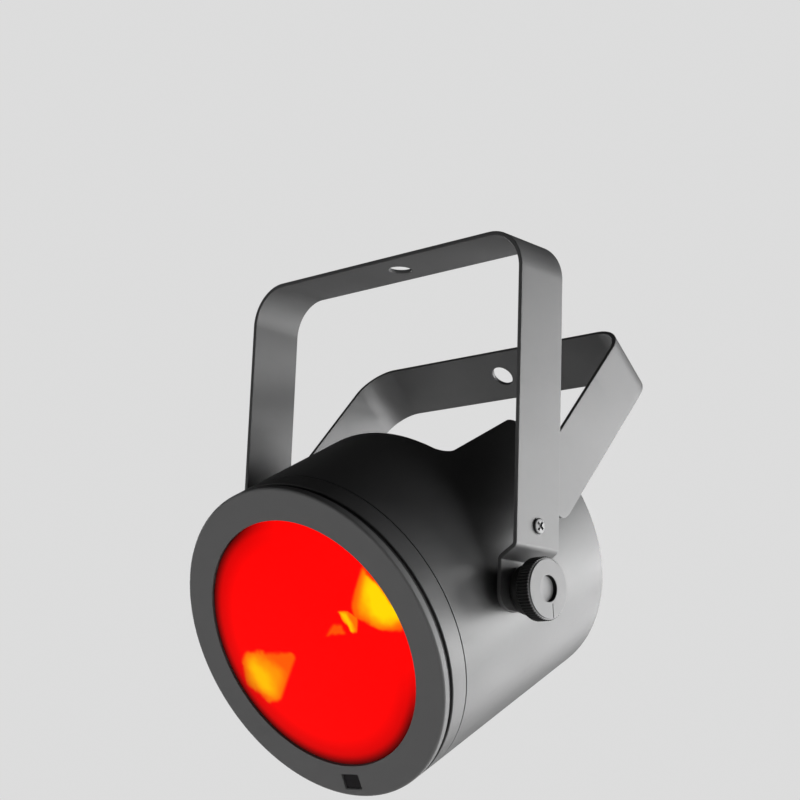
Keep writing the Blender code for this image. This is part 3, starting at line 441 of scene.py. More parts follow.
def painted(name, colour, roughness, grain=0.10, mottle=0.12):
    """Satin powder paint: a fine pebbled skin, slow changes of tone, and faint handling marks."""
    made = Shader(name)
    pebble = made.noise(2200.0, 2.0)
    waves = made.noise(260.0, 2.0)
    cloud = made.noise(22.0, 4.0, 0.6)
    marks = made.noise(90.0, 5.0, 0.7, made.stretch((1.0, 0.35, 1.0)))
    tone = made.blend(made.ranged(cloud, 0.3, 0.7, 0.0, 1.0), shade(colour, 1.0 - mottle),
                      shade(colour, 1.0 + mottle))
    rough = made.math("ADD", made.ranged(cloud, 0.3, 0.7, roughness - 0.03, roughness + 0.03),
                      made.ranged(marks, 0.55, 0.80, 0.0, 0.06))
    skin = made.bump(pebble, grain, 0.00006, made.bump(waves, grain * 0.6, 0.0003))
    made.set(Base_Color=tone, Roughness=rough, Normal=skin, Metallic=0.0, IOR=1.5)
    return made.material


def moulded(name, colour, roughness, grain=0.15):
    """Moulded plastic with a spark-eroded grain."""
    made = Shader(name)
    grains = made.noise(3500.0, 2.0)
    cloud = made.noise(60.0, 3.0)
    made.set(Base_Color=made.blend(cloud, shade(colour, 0.85), shade(colour, 1.2)),
             Roughness=made.ranged(cloud, 0.3, 0.7, roughness - 0.04, roughness + 0.05),
             Normal=made.bump(grains, grain, 0.00005), IOR=1.46)
    return made.material


def knob_plastic(name, lit_face_colour, shaded_rib_colour):
    """Moulded knob with painted light and shade: a paler face painted as lit, and black ribs around it,
    which are its dark plastic with painted shade; its recess wall is painted dark as shade. Its axis is
    X.
    """
    made = Shader(name)
    split = made.node("ShaderNodeSeparateXYZ", Vector=made.place)
    cloud = made.noise(300.0, 3.0)
    radius = made.math("SQRT", made.math("ADD", made.math("POWER", split.outputs["Y"], 2.0),
                                         made.math("POWER", split.outputs["Z"], 2.0)))
    outward = made.math("ABSOLUTE", split.outputs["X"])
    # Painted light and shade: the face and the recess floor take the paler lit colour, while the ribbed
    # side and the recess wall take the dark one as shade.
    recess = KNOB_RECESS_RADIUS
    top = made.math("MULTIPLY", made.ranged(radius, recess, recess + 0.0002, 0.0, 1.0),
                    made.ranged(outward, KNOB_FACE_X - 0.0014, KNOB_FACE_X - 0.0010, 0.0, 1.0))
    floor = made.math("MULTIPLY", made.ranged(radius, recess - 0.0004, recess - 0.0002, 1.0, 0.0),
                      made.ranged(outward, KNOB_FACE_X - 0.0034, KNOB_FACE_X - 0.0030, 0.0, 1.0))
    face = made.math("MAXIMUM", top, floor)
    painted_lit_face = made.blend(cloud, shade(lit_face_colour, 0.9), shade(lit_face_colour, 1.1))
    made.set(Base_Color=made.blend(face, shaded_rib_colour, painted_lit_face),
             Roughness=made.ranged(cloud, 0.3, 0.7, 0.48, 0.56),
             Specular_IOR_Level=made.ranged(face, 0.0, 1.0, 0.18, 0.5),
             Normal=made.bump(made.noise(3500.0, 2.0), 0.12, 0.00005), IOR=1.46)
    return made.material


def glowing(name, colour, strength):
    """Lit segment: even light with a faint cloudiness."""
    made = Shader(name)
    cloud = made.noise(900.0, 2.0)
    made.set(Base_Color=(0.02, 0.01, 0.01, 1.0), Roughness=0.4, Emission_Strength=strength,
             Emission_Color=made.blend(cloud, shade(colour, 0.9), colour))
    return made.material


def screw_plating(name, colour, dark):
    """Satin plating of a screw's head, with painted shade: dark in its cross recess and round its edge.
    Its axis is X.
    """
    made = Shader(name)
    split = made.node("ShaderNodeSeparateXYZ", Vector=made.place)
    radius = made.math("SQRT", made.math("ADD", made.math("POWER", split.outputs["Y"], 2.0),
                                         made.math("POWER", split.outputs["Z"], 2.0)))
    outward = made.math("ABSOLUTE", split.outputs["X"])
    # Painted shade: the floor of the cross recess and the rounded edge of the head take the dark colour,
    # and only the head's top takes the plating.
    floor = YOKE_HALF_WIDTH + GAP + SCREW_RECESS_FLOOR
    rim = SCREW_HEAD_RADIUS - 0.0002
    top = made.math("MULTIPLY", made.ranged(radius, rim - 0.0002, rim, 1.0, 0.0),
                    made.ranged(outward, floor + 0.0001, floor + 0.0003, 0.0, 1.0))
    made.set(Base_Color=made.blend(top, dark, colour), Roughness=0.45, IOR=1.5,
             Normal=made.bump(made.noise(2600.0, 2.0), 0.1, 0.00004))
    return made.material


def metal(name, colour, roughness, lines=(1.0, 1.0, 14.0), strength=0.08):
    """Drawn or plated metal with fine directional scratches."""
    made = Shader(name)
    scratch = made.noise(900.0, 3.0, 0.6, made.stretch(lines))
    cloud = made.noise(45.0, 3.0)
    made.set(Base_Color=made.blend(cloud, shade(colour, 0.88), shade(colour, 1.08)), Metallic=1.0,
             Roughness=made.ranged(scratch, 0.3, 0.7, roughness - 0.06, roughness + 0.10),
             Normal=made.bump(scratch, strength, 0.00004))
    return made.material


def rubber(name, colour):
    made = Shader(name)
    dust = made.noise(400.0, 4.0)
    made.set(Base_Color=made.blend(dust, shade(colour, 0.8), shade(colour, 1.6)),
             Roughness=made.ranged(dust, 0.3, 0.7, 0.75, 0.92),
             Normal=made.bump(made.noise(1800.0, 2.0), 0.2, 0.00006))
    return made.material


def circuit_board(name, colour):
    """Green laminate with lighter tracks under the solder mask."""
    made = Shader(name)
    tracks = made.node("ShaderNodeTexBrick", Vector=made.stretch((160.0, 160.0, 160.0)))
    tracks.inputs["Color1"].default_value = (*colour, 1.0)
    tracks.inputs["Color2"].default_value = (*shade(colour, 0.85), 1.0)
    tracks.inputs["Mortar"].default_value = (*shade(colour, 1.7), 1.0)
    tracks.inputs["Mortar Size"].default_value = 0.03
    made.set(Base_Color=tracks.outputs["Color"], Roughness=0.38,
             Normal=made.bump(tracks.outputs["Fac"], 0.15, 0.0001))
    return made.material


def dark_window(name, colour):
    """Tinted window, almost black, with a faint unevenness in its gloss."""
    made = Shader(name)
    waves = made.noise(120.0, 2.0)
    made.set(Base_Color=made.blend(waves, shade(colour, 0.8), shade(colour, 1.3)),
             Roughness=made.ranged(waves, 0.3, 0.7, 0.20, 0.26), IOR=1.49,
             Normal=made.bump(waves, 0.03, 0.0002))
    made.surface.inputs["Specular IOR Level"].default_value = 0.12
    return made.material


def side_of(made, across, normal, offset, softness):
    """One on the side of a line that its normal points to, zero on the other, in the lens's face."""
    distance = made.math("ADD", made.math("MULTIPLY", across[0], normal[0]),
                         made.math("MULTIPLY", across[1], normal[1]))
    return made.ranged(distance, offset - softness, offset + softness, 0.0, 1.0, True)


def patch(made, across, corners, softness):
    """A soft-edged convex patch between corners that run clockwise, in millimetres."""
    total = 1.0
    for index, (first, second) in enumerate(corners):
        after = corners[(index + 1) % len(corners)]
        along = Vector((after[0] - first, after[1] - second)).normalized()
        inward = (along.y, -along.x)
        offset = inward[0] * first + inward[1] * second
        edge = side_of(made, across, inward, offset, softness)
        total = made.math("MULTIPLY", total, edge)
    return total


def lit_lens(name):
    """Clear lens over a red-lit bowl: saturated red, darker at the rim as painted shade, with painted
    amber glints that stand for reflections.
    """
    made = Shader(name)
    split = made.node("ShaderNodeSeparateXYZ", Vector=made.place)
    warp = made.ranged(made.noise(75.0, 2.0), 0.0, 1.0, -3.0, 3.0)
    fine = made.ranged(made.noise(240.0, 2.0), 0.0, 1.0, -0.9, 0.9)
    shift = made.math("ADD", warp, fine)
    plain = [made.math("MULTIPLY", split.outputs[axis], 1000.0) for axis in "XZ"]
    across = [made.math("ADD", length, shift) for length in plain]
    # Painted glints: amber patches of emission fixed on the lens, standing for reflections.
    heat = 0.0
    for layers in PAINTED_GLINTS:
        glint = 0.0
        for strength, softness, corners in layers:
            layer = made.math("MULTIPLY", patch(made, across, corners, softness), strength)
            glint = made.math("ADD", glint, layer)
        heat = made.math("MAXIMUM", heat, glint)

    # Painted shade: the glow dims towards the rim, most on the side away from the upper right.
    radius = made.math("SQRT", made.math("ADD", made.math("POWER", plain[0], 2.0),
                                         made.math("POWER", plain[1], 2.0)))
    upper_right = made.math("ADD", made.math("MULTIPLY", plain[0], 0.80),
                            made.math("MULTIPLY", plain[1], 0.60))
    shaded = made.ranged(upper_right, 10.0, 48.0, 1.0, 0.0, True)
    broad = made.math("MULTIPLY", made.ranged(radius, 50.0, 69.0, 0.0, 0.45, True), shaded)
    edge = made.math("MULTIPLY", made.ranged(radius, 62.0, 68.6, 0.0, 0.90, True), shaded)
    glow = made.math("MULTIPLY", made.math("SUBTRACT", 1.0, broad),
                     made.math("SUBTRACT", 1.0, edge))
    green = made.math("MULTIPLY", made.math("POWER", heat, 2.0), 0.64)
    colour = made.blend(green, (1.0, 0.0, 0.0), (1.0, 1.0, 0.0))
    made.set(Base_Color=(0.01, 0.0, 0.0, 1.0), Roughness=0.14, Emission_Color=colour,
             Emission_Strength=made.math("MULTIPLY", glow, 1.05), IOR=1.46)
    made.surface.inputs["Specular IOR Level"].default_value = 0.04
    return made.material


MATERIALS = {
    "can_paint": painted("can_paint", (0.046, 0.046, 0.047), 0.50),
    "bezel_paint": painted("bezel_paint", (0.080, 0.080, 0.081), 0.62, mottle=0.04),
    "yoke_paint": painted("yoke_paint", (0.062, 0.062, 0.063), 0.50),
    "lens_red": lit_lens("lens_red"),
    "reflector": metal("reflector", (0.86, 0.86, 0.86), 0.16, (1.0, 1.0, 1.0), 0.03),
    "emitter": moulded("emitter", (0.90, 0.62, 0.12), 0.45),
    "board": circuit_board("board", (0.03, 0.18, 0.08)),
    "aluminium": metal("aluminium", (0.62, 0.63, 0.65), 0.34),
    "steel": metal("steel", (0.55, 0.55, 0.56), 0.28, (1.0, 1.0, 1.0)),
    "dark_steel": metal("dark_steel", (0.16, 0.16, 0.17), 0.36, (1.0, 1.0, 1.0)),
    "digit_glow": glowing("digit_glow", (1.0, 0.16, 0.06), 1.4),
    # The screw's second, near-black colour is painted shade in its cross recess and round the edge of
    # its head.
    "screw_plating": screw_plating("screw_plating", (0.10, 0.10, 0.102), (0.008, 0.008, 0.008)),
    # The knob's paler colour is its face painted as lit; the black one is its dark plastic with painted
    # shade on the ribs.
    "knob_plastic": knob_plastic("knob_plastic", (0.088, 0.088, 0.089), (0.012, 0.012, 0.012)),
    "black_plastic": moulded("black_plastic", (0.020, 0.020, 0.021), 0.48),
    "rubber": rubber("rubber", (0.012, 0.012, 0.012)),
    "window": dark_window("window", (0.004, 0.003, 0.004)),
    "button_plastic": moulded("button_plastic", (0.10, 0.10, 0.11), 0.45),
}


# ---------------------------------------------------------------- bent straps
def flat_plate(outline, holes, thickness, cuts, edge):
    """A flat plate in the (length, width) plane with holes, rounded edges and cross cuts."""
    shape = bmesh.new()
    rims = []
    for loop in [outline] + holes:
        verts = [shape.verts.new((length, width, -thickness / 2)) for length, width in loop]
        rims += [shape.edges.new((verts[index], verts[(index + 1) % len(verts)]))
                 for index in range(len(verts))]
    bmesh.ops.triangle_fill(shape, use_beauty=True, use_dissolve=False, edges=rims)
    for cut in cuts:
        parts = shape.verts[:] + shape.edges[:] + shape.faces[:]
        bmesh.ops.bisect_plane(shape, geom=parts, dist=1e-6, plane_co=(cut, 0, 0), plane_no=(1, 0, 0))
    lower = shape.faces[:]
    raised = bmesh.ops.extrude_face_region(shape, geom=lower)["geom"]
    moved = [item for item in raised if isinstance(item, bmesh.types.BMVert)]
    bmesh.ops.translate(shape, verts=moved, vec=(0, 0, thickness))
    shape.normal_update()
    corners = [item for item in shape.edges
               if len(item.link_faces) == 2
               and item.link_faces[0].normal.angle(item.link_faces[1].normal) > math.radians(60)]
    bmesh.ops.recalc_face_normals(shape, faces=shape.faces)
    bmesh.ops.bevel(shape, geom=corners, offset=edge, offset_type="OFFSET", segments=3, profile=0.5,
                    affect="EDGES", clamp_overlap=False)
    return shape


def bend_path(top, runs):
    """Point and outward normal at a distance from the strap's middle, from (length, turn) runs.

    A run is straight where its turn is zero; otherwise it is an arc that turns inwards by it.
    """
    def at(distance):
        side = -1.0 if distance < 0 else 1.0
        left = abs(distance)
        spot = Vector((0.0, top))
        heading = 0.0
        for length, turn in runs:
            step = min(left, length)
            if turn == 0.0:
                spot += step * Vector((math.cos(heading), -math.sin(heading)))
            else:
                swept = turn * step / length
                middle = heading + swept / 2
                chord = step if abs(swept) < 1e-9 else 2 * (length / turn) * math.sin(swept / 2)
                spot += chord * Vector((math.cos(middle), -math.sin(middle)))
                heading += swept
            left -= step
            if left <= 0.0:
                break
        if left > 0.0:
            spot += left * Vector((math.cos(heading), -math.sin(heading)))
        return spot, Vector((math.sin(heading), math.cos(heading))), side
    return at


def bent(name, shape, at):
    """Wraps a flat plate along a bend path; its width runs along Y."""
    for vert in shape.verts:
        length, width, height = vert.co
        spot, normal, side = at(length)
        spot = spot + normal * height
        vert.co = (side * spot.x, width, spot.y)
    return to_mesh(name, shape)


def circle(centre, radius, steps=40):
    return [(centre[0] + radius * math.sin(math.tau * step / steps),
             centre[1] + radius * math.cos(math.tau * step / steps)) for step in range(steps)]


def bend_cuts(runs, fine):
    """Distances from the middle where the plate is cut so that it bends smoothly."""
    cuts, total = [], 0.0
    for length, turn in runs:
        if turn:
            steps = max(int(abs(turn) / fine), 2)
            cuts += [total + length * step / steps for step in range(steps + 1)]
        total += length
    return sorted([-cut for cut in cuts] + cuts)


def yoke_mesh():
    half = STRAP_THICKNESS / 2
    middle, tab = YOKE_HALF_WIDTH - half, YOKE_TAB_X - half
    bend, small = YOKE_BEND - half, JOGGLE_BEND
    slope = math.atan2(middle - tab, JOGGLE_TOP - JOGGLE_BOTTOM)
    trim = small * math.tan(slope / 2)
    slant = math.hypot(middle - tab, JOGGLE_TOP - JOGGLE_BOTTOM)
    top = YOKE_DROP - half
    runs = [(middle - bend, 0.0), (bend * math.pi / 2, math.pi / 2),
            (top - bend - JOGGLE_TOP - trim, 0.0), (small * slope, slope), (slant - 2 * trim, 0.0),
            (small * slope, -slope)]
    to_pivot = sum(length for length, turn in runs) + JOGGLE_BOTTOM - trim
    corner, flat = YOKE_TAB_CORNER, STRAP_WIDTH / 2 - YOKE_TAB_CORNER
    turn = to_pivot - YOKE_TAB_BOTTOM - corner
    outline = arc((turn, -flat), corner, -90, 0, 12) + arc((turn, flat), corner, 0, 90, 12)
    outline += [(-first, second) for first, second in reversed(outline)]
    to_screw = to_pivot - JOGGLE_BOTTOM + trim - 2 * small * slope - slant + 2 * trim
    to_screw -= FOLD_HEIGHT - JOGGLE_TOP - trim
    holes = [circle((0.0, 0.0), CLAMP_HOLE_RADIUS, 56)]
    for side in (1, -1):
        holes.append(circle((side * to_pivot, 0.0), RUNNING))
        holes.append(circle((side * to_screw, 0.0), SCREW_RADIUS + GAP, 24))
    plate = flat_plate(outline, holes, STRAP_THICKNESS, bend_cuts(runs, BEND_STEP), STRAP_EDGE)
    return bent("yoke_bracket", plate, bend_path(top, runs))


def floor_bracket_mesh():
    half = STRAP_THICKNESS / 2
    middle, bend = FLOOR_HALF_WIDTH - half, FLOOR_BEND - half
    top = FLOOR_REACH - half
    runs = [(middle - bend, 0.0), (bend * math.pi / 2, math.pi / 2)]
    to_screw = sum(length for length, turn in runs) + top - bend
    low, high = FLOOR_SHOULDER
    wide, narrow = STRAP_WIDTH / 2, FLOOR_TAB_RADIUS
    outline = []
    for step in range(13):
        share = 1.0 - step / 12
        swell = math.sqrt(1.0 - (1.0 - share) ** 2)
        outline.append((to_screw - low - (high - low) * share, -(narrow + (wide - narrow) * swell)))
    outline += arc((to_screw, 0.0), narrow, -90, 90, 20)
    outline += [(first, -second) for first, second in outline[12::-1]]
    outline += [(-first, second) for first, second in reversed(outline)]
    holes = [circle((0.0, 0.0), CLAMP_HOLE_RADIUS, 56)]
    holes += [circle((side * to_screw, 0.0), SCREW_RADIUS + GAP, 24) for side in (1, -1)]
    plate = flat_plate(outline, holes, STRAP_THICKNESS, bend_cuts(runs, BEND_STEP), STRAP_EDGE)
    return bent("floor_bracket", plate, bend_path(top, runs))


def make_brackets():
    """Hanging yoke and the inner bracket that swings out as a floor stand."""
    place("yoke", yoke_mesh(), YOKE_FRAME, "yoke", "yoke_paint", ["yoke_bracket"])
    place("floor_stand", floor_bracket_mesh(), FOLD_FRAME, "floor_bracket", "yoke_paint",
          ["floor_bracket"])


# ---------------------------------------------------------------- fasteners and knobs
def cross(long, short):
    """Outline of a cross of two arms, from their half length and half width."""
    return [(short, short), (short, long), (-short, long), (-short, short), (-long, short),
            (-long, -short), (-short, -short), (-short, -long), (short, -long), (short, -short),
            (long, -short), (long, short)]


def spun(outline, degrees):
    """The outline turned about its centre."""
    angle = math.radians(degrees)
    return [(first * math.cos(angle) - second * math.sin(angle),
             first * math.sin(angle) + second * math.cos(angle)) for first, second in outline]


def make_pivot_screw(side):
    """Low pan-head screw with a cross recess; its head bears on the yoke's outer face."""
    sign = SIDES[side]
    head = YOKE_HALF_WIDTH + GAP
    top = head + SCREW_HEAD_HEIGHT
    tip = YOKE_HALF_WIDTH - 2 * STRAP_THICKNESS - FRICTION_WASHER - SCREW_PAST_STRAPS
    corners = [(0.0, tip), (SCREW_RADIUS, tip), (SCREW_RADIUS, head), (SCREW_HEAD_RADIUS - 0.0003, head),
               (SCREW_HEAD_RADIUS, head + 0.0003), (SCREW_HEAD_RADIUS, head + 0.0005),
               (SCREW_HEAD_RADIUS - 0.0007, top - 0.0002), (0.0, top)]
    radii = [0.0, 0.0004, 0.0, 0.0, 0.0001, 0.0001, 0.0008, 0.0]
    profile = [(max(radius, 0.0), sign * height) for radius, height in rounded(corners, radii, 4)]
    body = turned("screw", profile, "X", 64)
    low, high = sorted((sign * (head + SCREW_RECESS_FLOOR), sign * (head + 0.005)))
    body = carved(body, [prism(spun(cross(*SCREW_CROSS), SCREW_CROSS_TURN), low, high, "X")])
    place("pivot_cap_screw_" + side, body, SCREW_FRAME, "yoke", "steel", ["pivot_screw_" + side],
          look="screw_plating")


def make_knob(side):
    """Ribbed clamp knob with a raised face, a centre recess and a pointer groove."""
    sign = SIDES[side]
    face, neck = KNOB_FACE_X, KNOB_NECK_X
    collar = YOKE_TAB_X + 2 * GAP + CLAMP_WASHER
    shoulder, floor = face - KNOB_STEP, face - KNOB_RECESS_DEPTH
    corners = [(RUNNING, collar), (0.0123, collar), (0.0130, collar + 0.0020),
               (KNOB_NECK_RADIUS, neck - 0.0004), (KNOB_NECK_RADIUS, neck),
               (KNOB_RADIUS - 0.0008, neck), (KNOB_RADIUS, neck + 0.0009),
               (KNOB_RADIUS, shoulder - 0.0006), (KNOB_RADIUS - 0.0004, shoulder),
               (KNOB_FACE_RADIUS, shoulder), (KNOB_FACE_RADIUS, face), (KNOB_RECESS_RADIUS, face),
               (KNOB_RECESS_RADIUS, floor), (0.0, floor), (0.0, KNOB_BORE_END),
               (RUNNING, KNOB_BORE_END)]
    radii = [0.0, 0.0004, 0.0006, 0.0003, 0.0, 0.0004, 0.0004, 0.0004, 0.0002, 0.0001, 0.0003, 0.0003,
             0.0002, 0.0, 0.0, 0.0]
    profile = rounded(corners, radii, 3)
    profile = [(0.0 if radius < 1e-6 else radius, sign * height) for radius, height in profile]

    def ribs(radius, turn):
        if radius < KNOB_RADIUS - 0.0008:
            return 1.0
        fade = min((radius - KNOB_RADIUS + 0.0008) / 0.0006, 1.0)
        swing = math.sin(math.tau * turn * KNOB_RIBS)
        return 1.0 - fade * RIB_DEPTH * (1.0 - max(-1.0, min(1.0, 1.8 * swing))) / 2

    knob = turned("knob", profile, "X", KNOB_RIBS * 6, wave=ribs)
    low, high = sorted((sign * (face - 0.0006), sign * (face + 0.002)))
    knob = carved(knob, [prism(POINTER, low, high, "X")])
    place("clamp_knob_" + side, knob, TILT_FRAME, "knob_" + side, "knob_plastic", ["knob_" + side])


def make_stud(side):
    """Threaded stud of a knob: rings of thread where it enters the can."""
    sign = SIDES[side]
    low, high = STUD_ENDS
    profile = [(0.0, low), (STUD_RADIUS - 0.0009, low)]
    turns = int((high - low - 0.001) / THREAD_PITCH)
    for turn in range(turns):
        base = low + 0.0006 + turn * THREAD_PITCH
        profile += [(STUD_RADIUS - 0.0006, base), (STUD_RADIUS, base + THREAD_PITCH * 0.4),
                    (STUD_RADIUS, base + THREAD_PITCH * 0.55)]
    profile += [(STUD_RADIUS - 0.0006, high), (0.0, high)]
    profile = [(radius, sign * height) for radius, height in profile]
    place("knob_thread_" + side, turned("stud", profile, "X", 32), TILT_FRAME, "knob_" + side,
          "steel", ["knob_stud_" + side])


# ---------------------------------------------------------------- the can
def make_shell():
    """Tube with a cable notch in the top of its rear skirt."""
    front = SEAM_Y + GAP
    inside = CAN_RADIUS - CAN_WALL
    tube = turned("can_shell", [(inside, front), (CAN_RADIUS, front), (CAN_RADIUS, RIM_Y),
                                (inside, RIM_Y)], segments=240)
    half, inner, mouth = NOTCH_HALF_WIDTH, NOTCH_INNER_FILLET, NOTCH_MOUTH_FILLET
    right = arc((half - inner, NOTCH_FRONT_Y + inner), inner, -90, 0, 14)
    right += arc((half + mouth, RIM_Y - mouth), mouth, 180, 90, 10)
    right += [(half + mouth, RIM_Y + 0.02)]
    left = [(-first, second) for first, second in reversed(right)]
    cutters = [prism(right + left, 0.02, 0.12, "Z"),
               prism(circle((0.0, -CAN_LIFT), STUD_RADIUS + 0.0006), -0.12, 0.12, "X")]
    shell = edged(carved(tube, cutters), 0.00035, 2)
    place("shell", shell, CAN_FRAME, "can", "can_paint", ["can_shell"])


def make_bezel():
    """Bezel with a rounded outer corner and a pocket for the receiver's window."""
    across, deep = CAN_RADIUS - BEZEL_FACE_RADIUS, BEZEL_CORNER_DEPTH
    corner = []
    for step in range(1, 9):
        angle = math.pi / 2 * step / 8
        corner.append((BEZEL_FACE_RADIUS + across * math.sin(angle),
                       FACE_Y + deep * (1.0 - math.cos(angle))))
    profile = [(LENS_OPENING_RADIUS, FACE_Y), (BEZEL_FACE_RADIUS, FACE_Y)] + corner
    profile += [(CAN_RADIUS, GROOVE_FRONT_Y), (BEZEL_INNER_RADIUS, GROOVE_FRONT_Y),
                (BEZEL_INNER_RADIUS, FACE_Y + BEZEL_LIP), (LENS_OPENING_RADIUS, FACE_Y + BEZEL_LIP)]
    radii = [0.00025] + [0.0] * 9 + [0.0002, 0.0, 0.0, 0.0002]
    bezel = turned("front_bezel", rounded(profile, radii, 5))
    pocket = prism(rectangle(*IR_POCKET, IR_CENTRE, 0.0006), FACE_Y - 0.002, FACE_Y + 0.002)
    lip = prism(rectangle(*IR_POCKET_LIP, IR_CENTRE, 0.0008), FACE_Y - 0.002, FACE_Y + 0.0003)
    bezel = carved(bezel, [pocket, lip])
    bezel.transform(CAN_FRAME)
    place("bezel", bezel, Matrix.Identity(4), "can", "bezel_paint", ["front_bezel"])

    front, back = [FACE_Y + depth for depth in IR_WINDOW_DEPTHS]
    body = prism(rectangle(*IR_WINDOW, IR_CENTRE, 0.0005), front, back)
    place("receiver_window", edged(body, 0.0002), CAN_FRAME, "can", "window", ["ir_window"])


def make_rings():
    """Gasket in the dark groove, and the collar between the groove and the seam."""
    front, back = GROOVE_FRONT_Y + GAP, GROOVE_REAR_Y - GAP
    gasket = rounded([(RING_INNER_RADIUS, front), (GASKET_RADIUS, front), (GASKET_RADIUS, back),
                      (RING_INNER_RADIUS, back)], 0.0003)
    place("groove_gasket", turned("gasket", gasket), CAN_FRAME, "can", "rubber", ["bezel_gasket"])
    front, back, inside = GROOVE_REAR_Y, SEAM_Y - 0.0001, CAN_RADIUS - CAN_WALL - GAP
    corners = [(RING_INNER_RADIUS, front), (CAN_RADIUS, front), (CAN_RADIUS, back), (inside, back),
               (inside, SEAM_Y + SPIGOT_LENGTH), (SPIGOT_INNER_RADIUS, SEAM_Y + SPIGOT_LENGTH),
               (SPIGOT_INNER_RADIUS, front + 0.0022), (RING_INNER_RADIUS, front + 0.0022)]
    radii = [0.0002, 0.0006, 0.0004, 0.0, 0.0003, 0.0003, 0.0003, 0.0002]
    place("collar", turned("collar", rounded(corners, radii)), CAN_FRAME, "can", "can_paint",
          ["front_collar"])


def make_lens():
    """Lens with a very slightly domed front, held behind the bezel's lip."""
    glass = FACE_Y + LENS_FLANGE
    reach = LENS_OPENING_RADIUS - 0.0007
    top, rise, steps = FACE_Y + LENS_FRONT, LENS_DOME, 24
    profile = [(0.0, top - rise)]
    profile += [(reach * step / steps, top - rise * (1.0 - (step / steps) ** 2))
                for step in range(1, steps + 1)]
    profile += [(reach + 0.0003, top + 0.0003), (reach + 0.0003, glass),
                (LENS_RADIUS - 0.0002, glass), (LENS_RADIUS, glass + 0.0003),
                (LENS_RADIUS, glass + 0.003), (0.0, glass + 0.003)]
    place("lens", turned("lens", profile), CAN_FRAME, "can", "lens_red", ["front_lens"])


# ---------------------------------------------------------------- remaining pieces from the frame
def soften(node):
    """A copy of a CAD node's solid with its edges rounded, standing for that node."""
    source = frame["nodes"][node]
    shape = bmesh.new()
    shape.from_mesh(source.data)
    bmesh.ops.remove_doubles(shape, verts=shape.verts, dist=2e-6)
    bmesh.ops.dissolve_limit(shape, angle_limit=math.radians(1.0), verts=shape.verts,
                             edges=shape.edges)
    mesh = edged(to_mesh(node, shape), SOFT_EDGE)
    body = next(name for name, nodes in BODIES.items() if node in nodes)
    place(node + "_piece", mesh, Matrix.Identity(4), body, SLOTS[node], [node])


def make_digits():
    """Lit digits made of bars, on the rear face of the display's window."""
    width, height = DIGIT_SIZE
    bar, gap = DIGIT_BAR, DIGIT_GAP
    long = height / 2 - bar - 2 * gap
    wide = width - bar - 2 * gap
    right, top, middle = (width - bar) / 2, (height - bar) / 2, (height - bar) / 4
    bars = {"a": ((0.0, top), (wide, bar)), "b": ((right, middle), (bar, long)),
            "c": ((right, -middle), (bar, long)), "d": ((0.0, -top), (wide, bar)),
            "e": ((-right, -middle), (bar, long)), "f": ((-right, middle), (bar, long))}
    for number, digit in enumerate(DIGIT_TEXT):
        shift = (len(DIGIT_TEXT) - 1) / 2 - number
        solid = bmesh.new()
        for segment in SEGMENTS[digit]:
            (across, up), (long_side, tall) = bars[segment]
            centre = (DISPLAY_CENTRE[0] + shift * DIGIT_PITCH - across, DISPLAY_CENTRE[1] + up)
            solid.from_mesh(prism(rectangle(long_side, tall, centre, 0.00015),
                                  DISPLAY_REAR_Y - 0.0003, DISPLAY_REAR_Y + 0.00005))
        place("display_digit_%d" % (number + 1), to_mesh("digit", solid), CAN_FRAME, "can",
              "window", look="digit_glow")


# ---------------------------------------------------------------- stage, light and camera
def make_stage():
    plane = bmesh.new()
    bmesh.ops.create_grid(plane, x_segments=2, y_segments=2, size=FLOOR_HALF_SIZE)
    floor = bpy.data.objects.new("floor", to_mesh("floor", plane))
    bpy.context.scene.collection.objects.link(floor)
    floor.location = (0.0, 0.0, FLOOR_Z)
    paper = Shader("paper")
    paper.set(Base_Color=paper.blend(paper.noise(3.0), (0.78, 0.78, 0.77), (0.80, 0.80, 0.79)),
              Roughness=0.85)
    tree = paper.material.node_tree
    pale = tree.nodes.new("ShaderNodeEmission")
    pale.inputs["Color"].default_value = (*BACKDROP, 1.0)
    path = tree.nodes.new("ShaderNodeLightPath")
    seen = tree.nodes.new("ShaderNodeMixShader")
    output = next(node for node in tree.nodes if node.type == "OUTPUT_MATERIAL")
    tree.links.new(path.outputs["Is Camera Ray"], seen.inputs[0])
    tree.links.new(paper.surface.outputs[0], seen.inputs[1])
    tree.links.new(pale.outputs[0], seen.inputs[2])
    tree.links.new(seen.outputs[0], output.inputs["Surface"])
    floor.data.materials.append(paper.material)


def soft_box(name, location, target, size, power):
    light = bpy.data.lights.new(name, "AREA")
    light.shape = "RECTANGLE"
    light.size, light.size_y = size
    light.energy = power
    lamp = bpy.data.objects.new(name, light)
    bpy.context.scene.collection.objects.link(lamp)
    lamp.location = location
    lamp.visible_camera = False
    lamp.rotation_euler = (Vector(target) - Vector(location)).to_track_quat("-Z", "Y").to_euler()


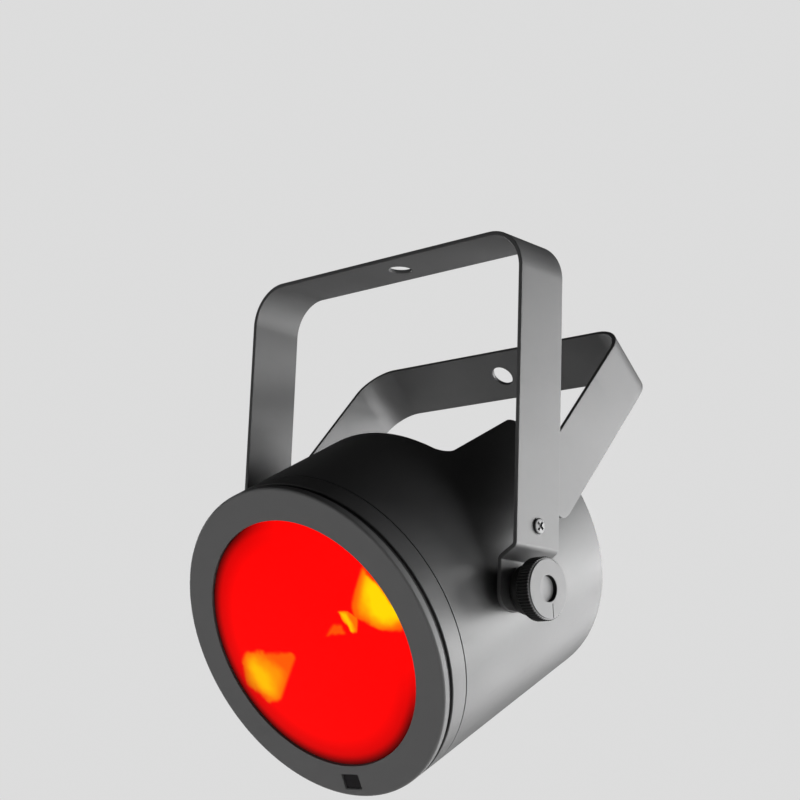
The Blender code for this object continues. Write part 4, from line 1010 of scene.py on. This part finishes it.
def make_world():
    """Pale backdrop to look at; what the object reflects is dark overhead and pale around the floor."""
    world = bpy.data.worlds.new("studio")
    bpy.context.scene.world = world
    world.use_nodes = True
    tree = world.node_tree
    place_node = tree.nodes.new("ShaderNodeTexCoord")
    split = tree.nodes.new("ShaderNodeSeparateXYZ")
    tree.links.new(place_node.outputs["Generated"], split.inputs[0])
    share = tree.nodes.new("ShaderNodeMapRange")
    share.interpolation_type = "SMOOTHSTEP"
    tree.links.new(split.outputs["Z"], share.inputs[0])
    share.inputs[1].default_value = ROOM_BLEND[0]
    share.inputs[2].default_value = ROOM_BLEND[1]
    room = tree.nodes.new("ShaderNodeMix")
    room.data_type = "RGBA"
    tree.links.new(share.outputs[0], room.inputs[0])
    room.inputs[6].default_value = (*ROOM_LOW, 1.0)
    room.inputs[7].default_value = (*ROOM_HIGH, 1.0)
    seen = tree.nodes.new("ShaderNodeMix")
    seen.data_type = "RGBA"
    path = tree.nodes.new("ShaderNodeLightPath")
    tree.links.new(path.outputs["Is Camera Ray"], seen.inputs[0])
    tree.links.new(room.outputs[2], seen.inputs[6])
    seen.inputs[7].default_value = (*BACKDROP, 1.0)
    tree.links.new(seen.outputs[2], tree.nodes["Background"].inputs["Color"])
    tree.nodes["Background"].inputs["Strength"].default_value = 1.0
    bpy.context.scene.view_settings.view_transform = "Standard"


def make_camera():
    """At the photograph's viewing angle: low, to the right of the light's front."""
    data = bpy.data.cameras.new("camera")
    data.lens = CAMERA_LENS
    data.sensor_width = CAMERA_SENSOR
    camera = bpy.data.objects.new("camera", data)
    bpy.context.scene.collection.objects.link(camera)
    axes = (Vector(CAMERA_RIGHT), -Vector(CAMERA_DOWN), -Vector(CAMERA_FORWARD))
    turn = Matrix(axes).transposed()
    camera.matrix_world = Matrix.Translation(CAMERA_PLACE) @ turn.to_4x4()
    bpy.context.scene.camera = camera


def make_all():
    for node, piece in frame["nodes"].items():
        piece.data.materials.clear()
        piece.data.materials.append(MATERIALS[SLOTS[node]])
    make_camera()
    make_world()
    make_stage()
    for name, location, size, power in LIGHTS:
        soft_box(name, location, (0.0, 0.0, -YOKE_DROP), size, power)
    make_brackets()
    for side in SIDES:
        make_pivot_screw(side)
        make_knob(side)
        make_stud(side)
    make_shell()
    make_bezel()
    make_rings()
    make_lens()
    for node in SOFTENED:
        soften(node)
    make_digits()


make_all()
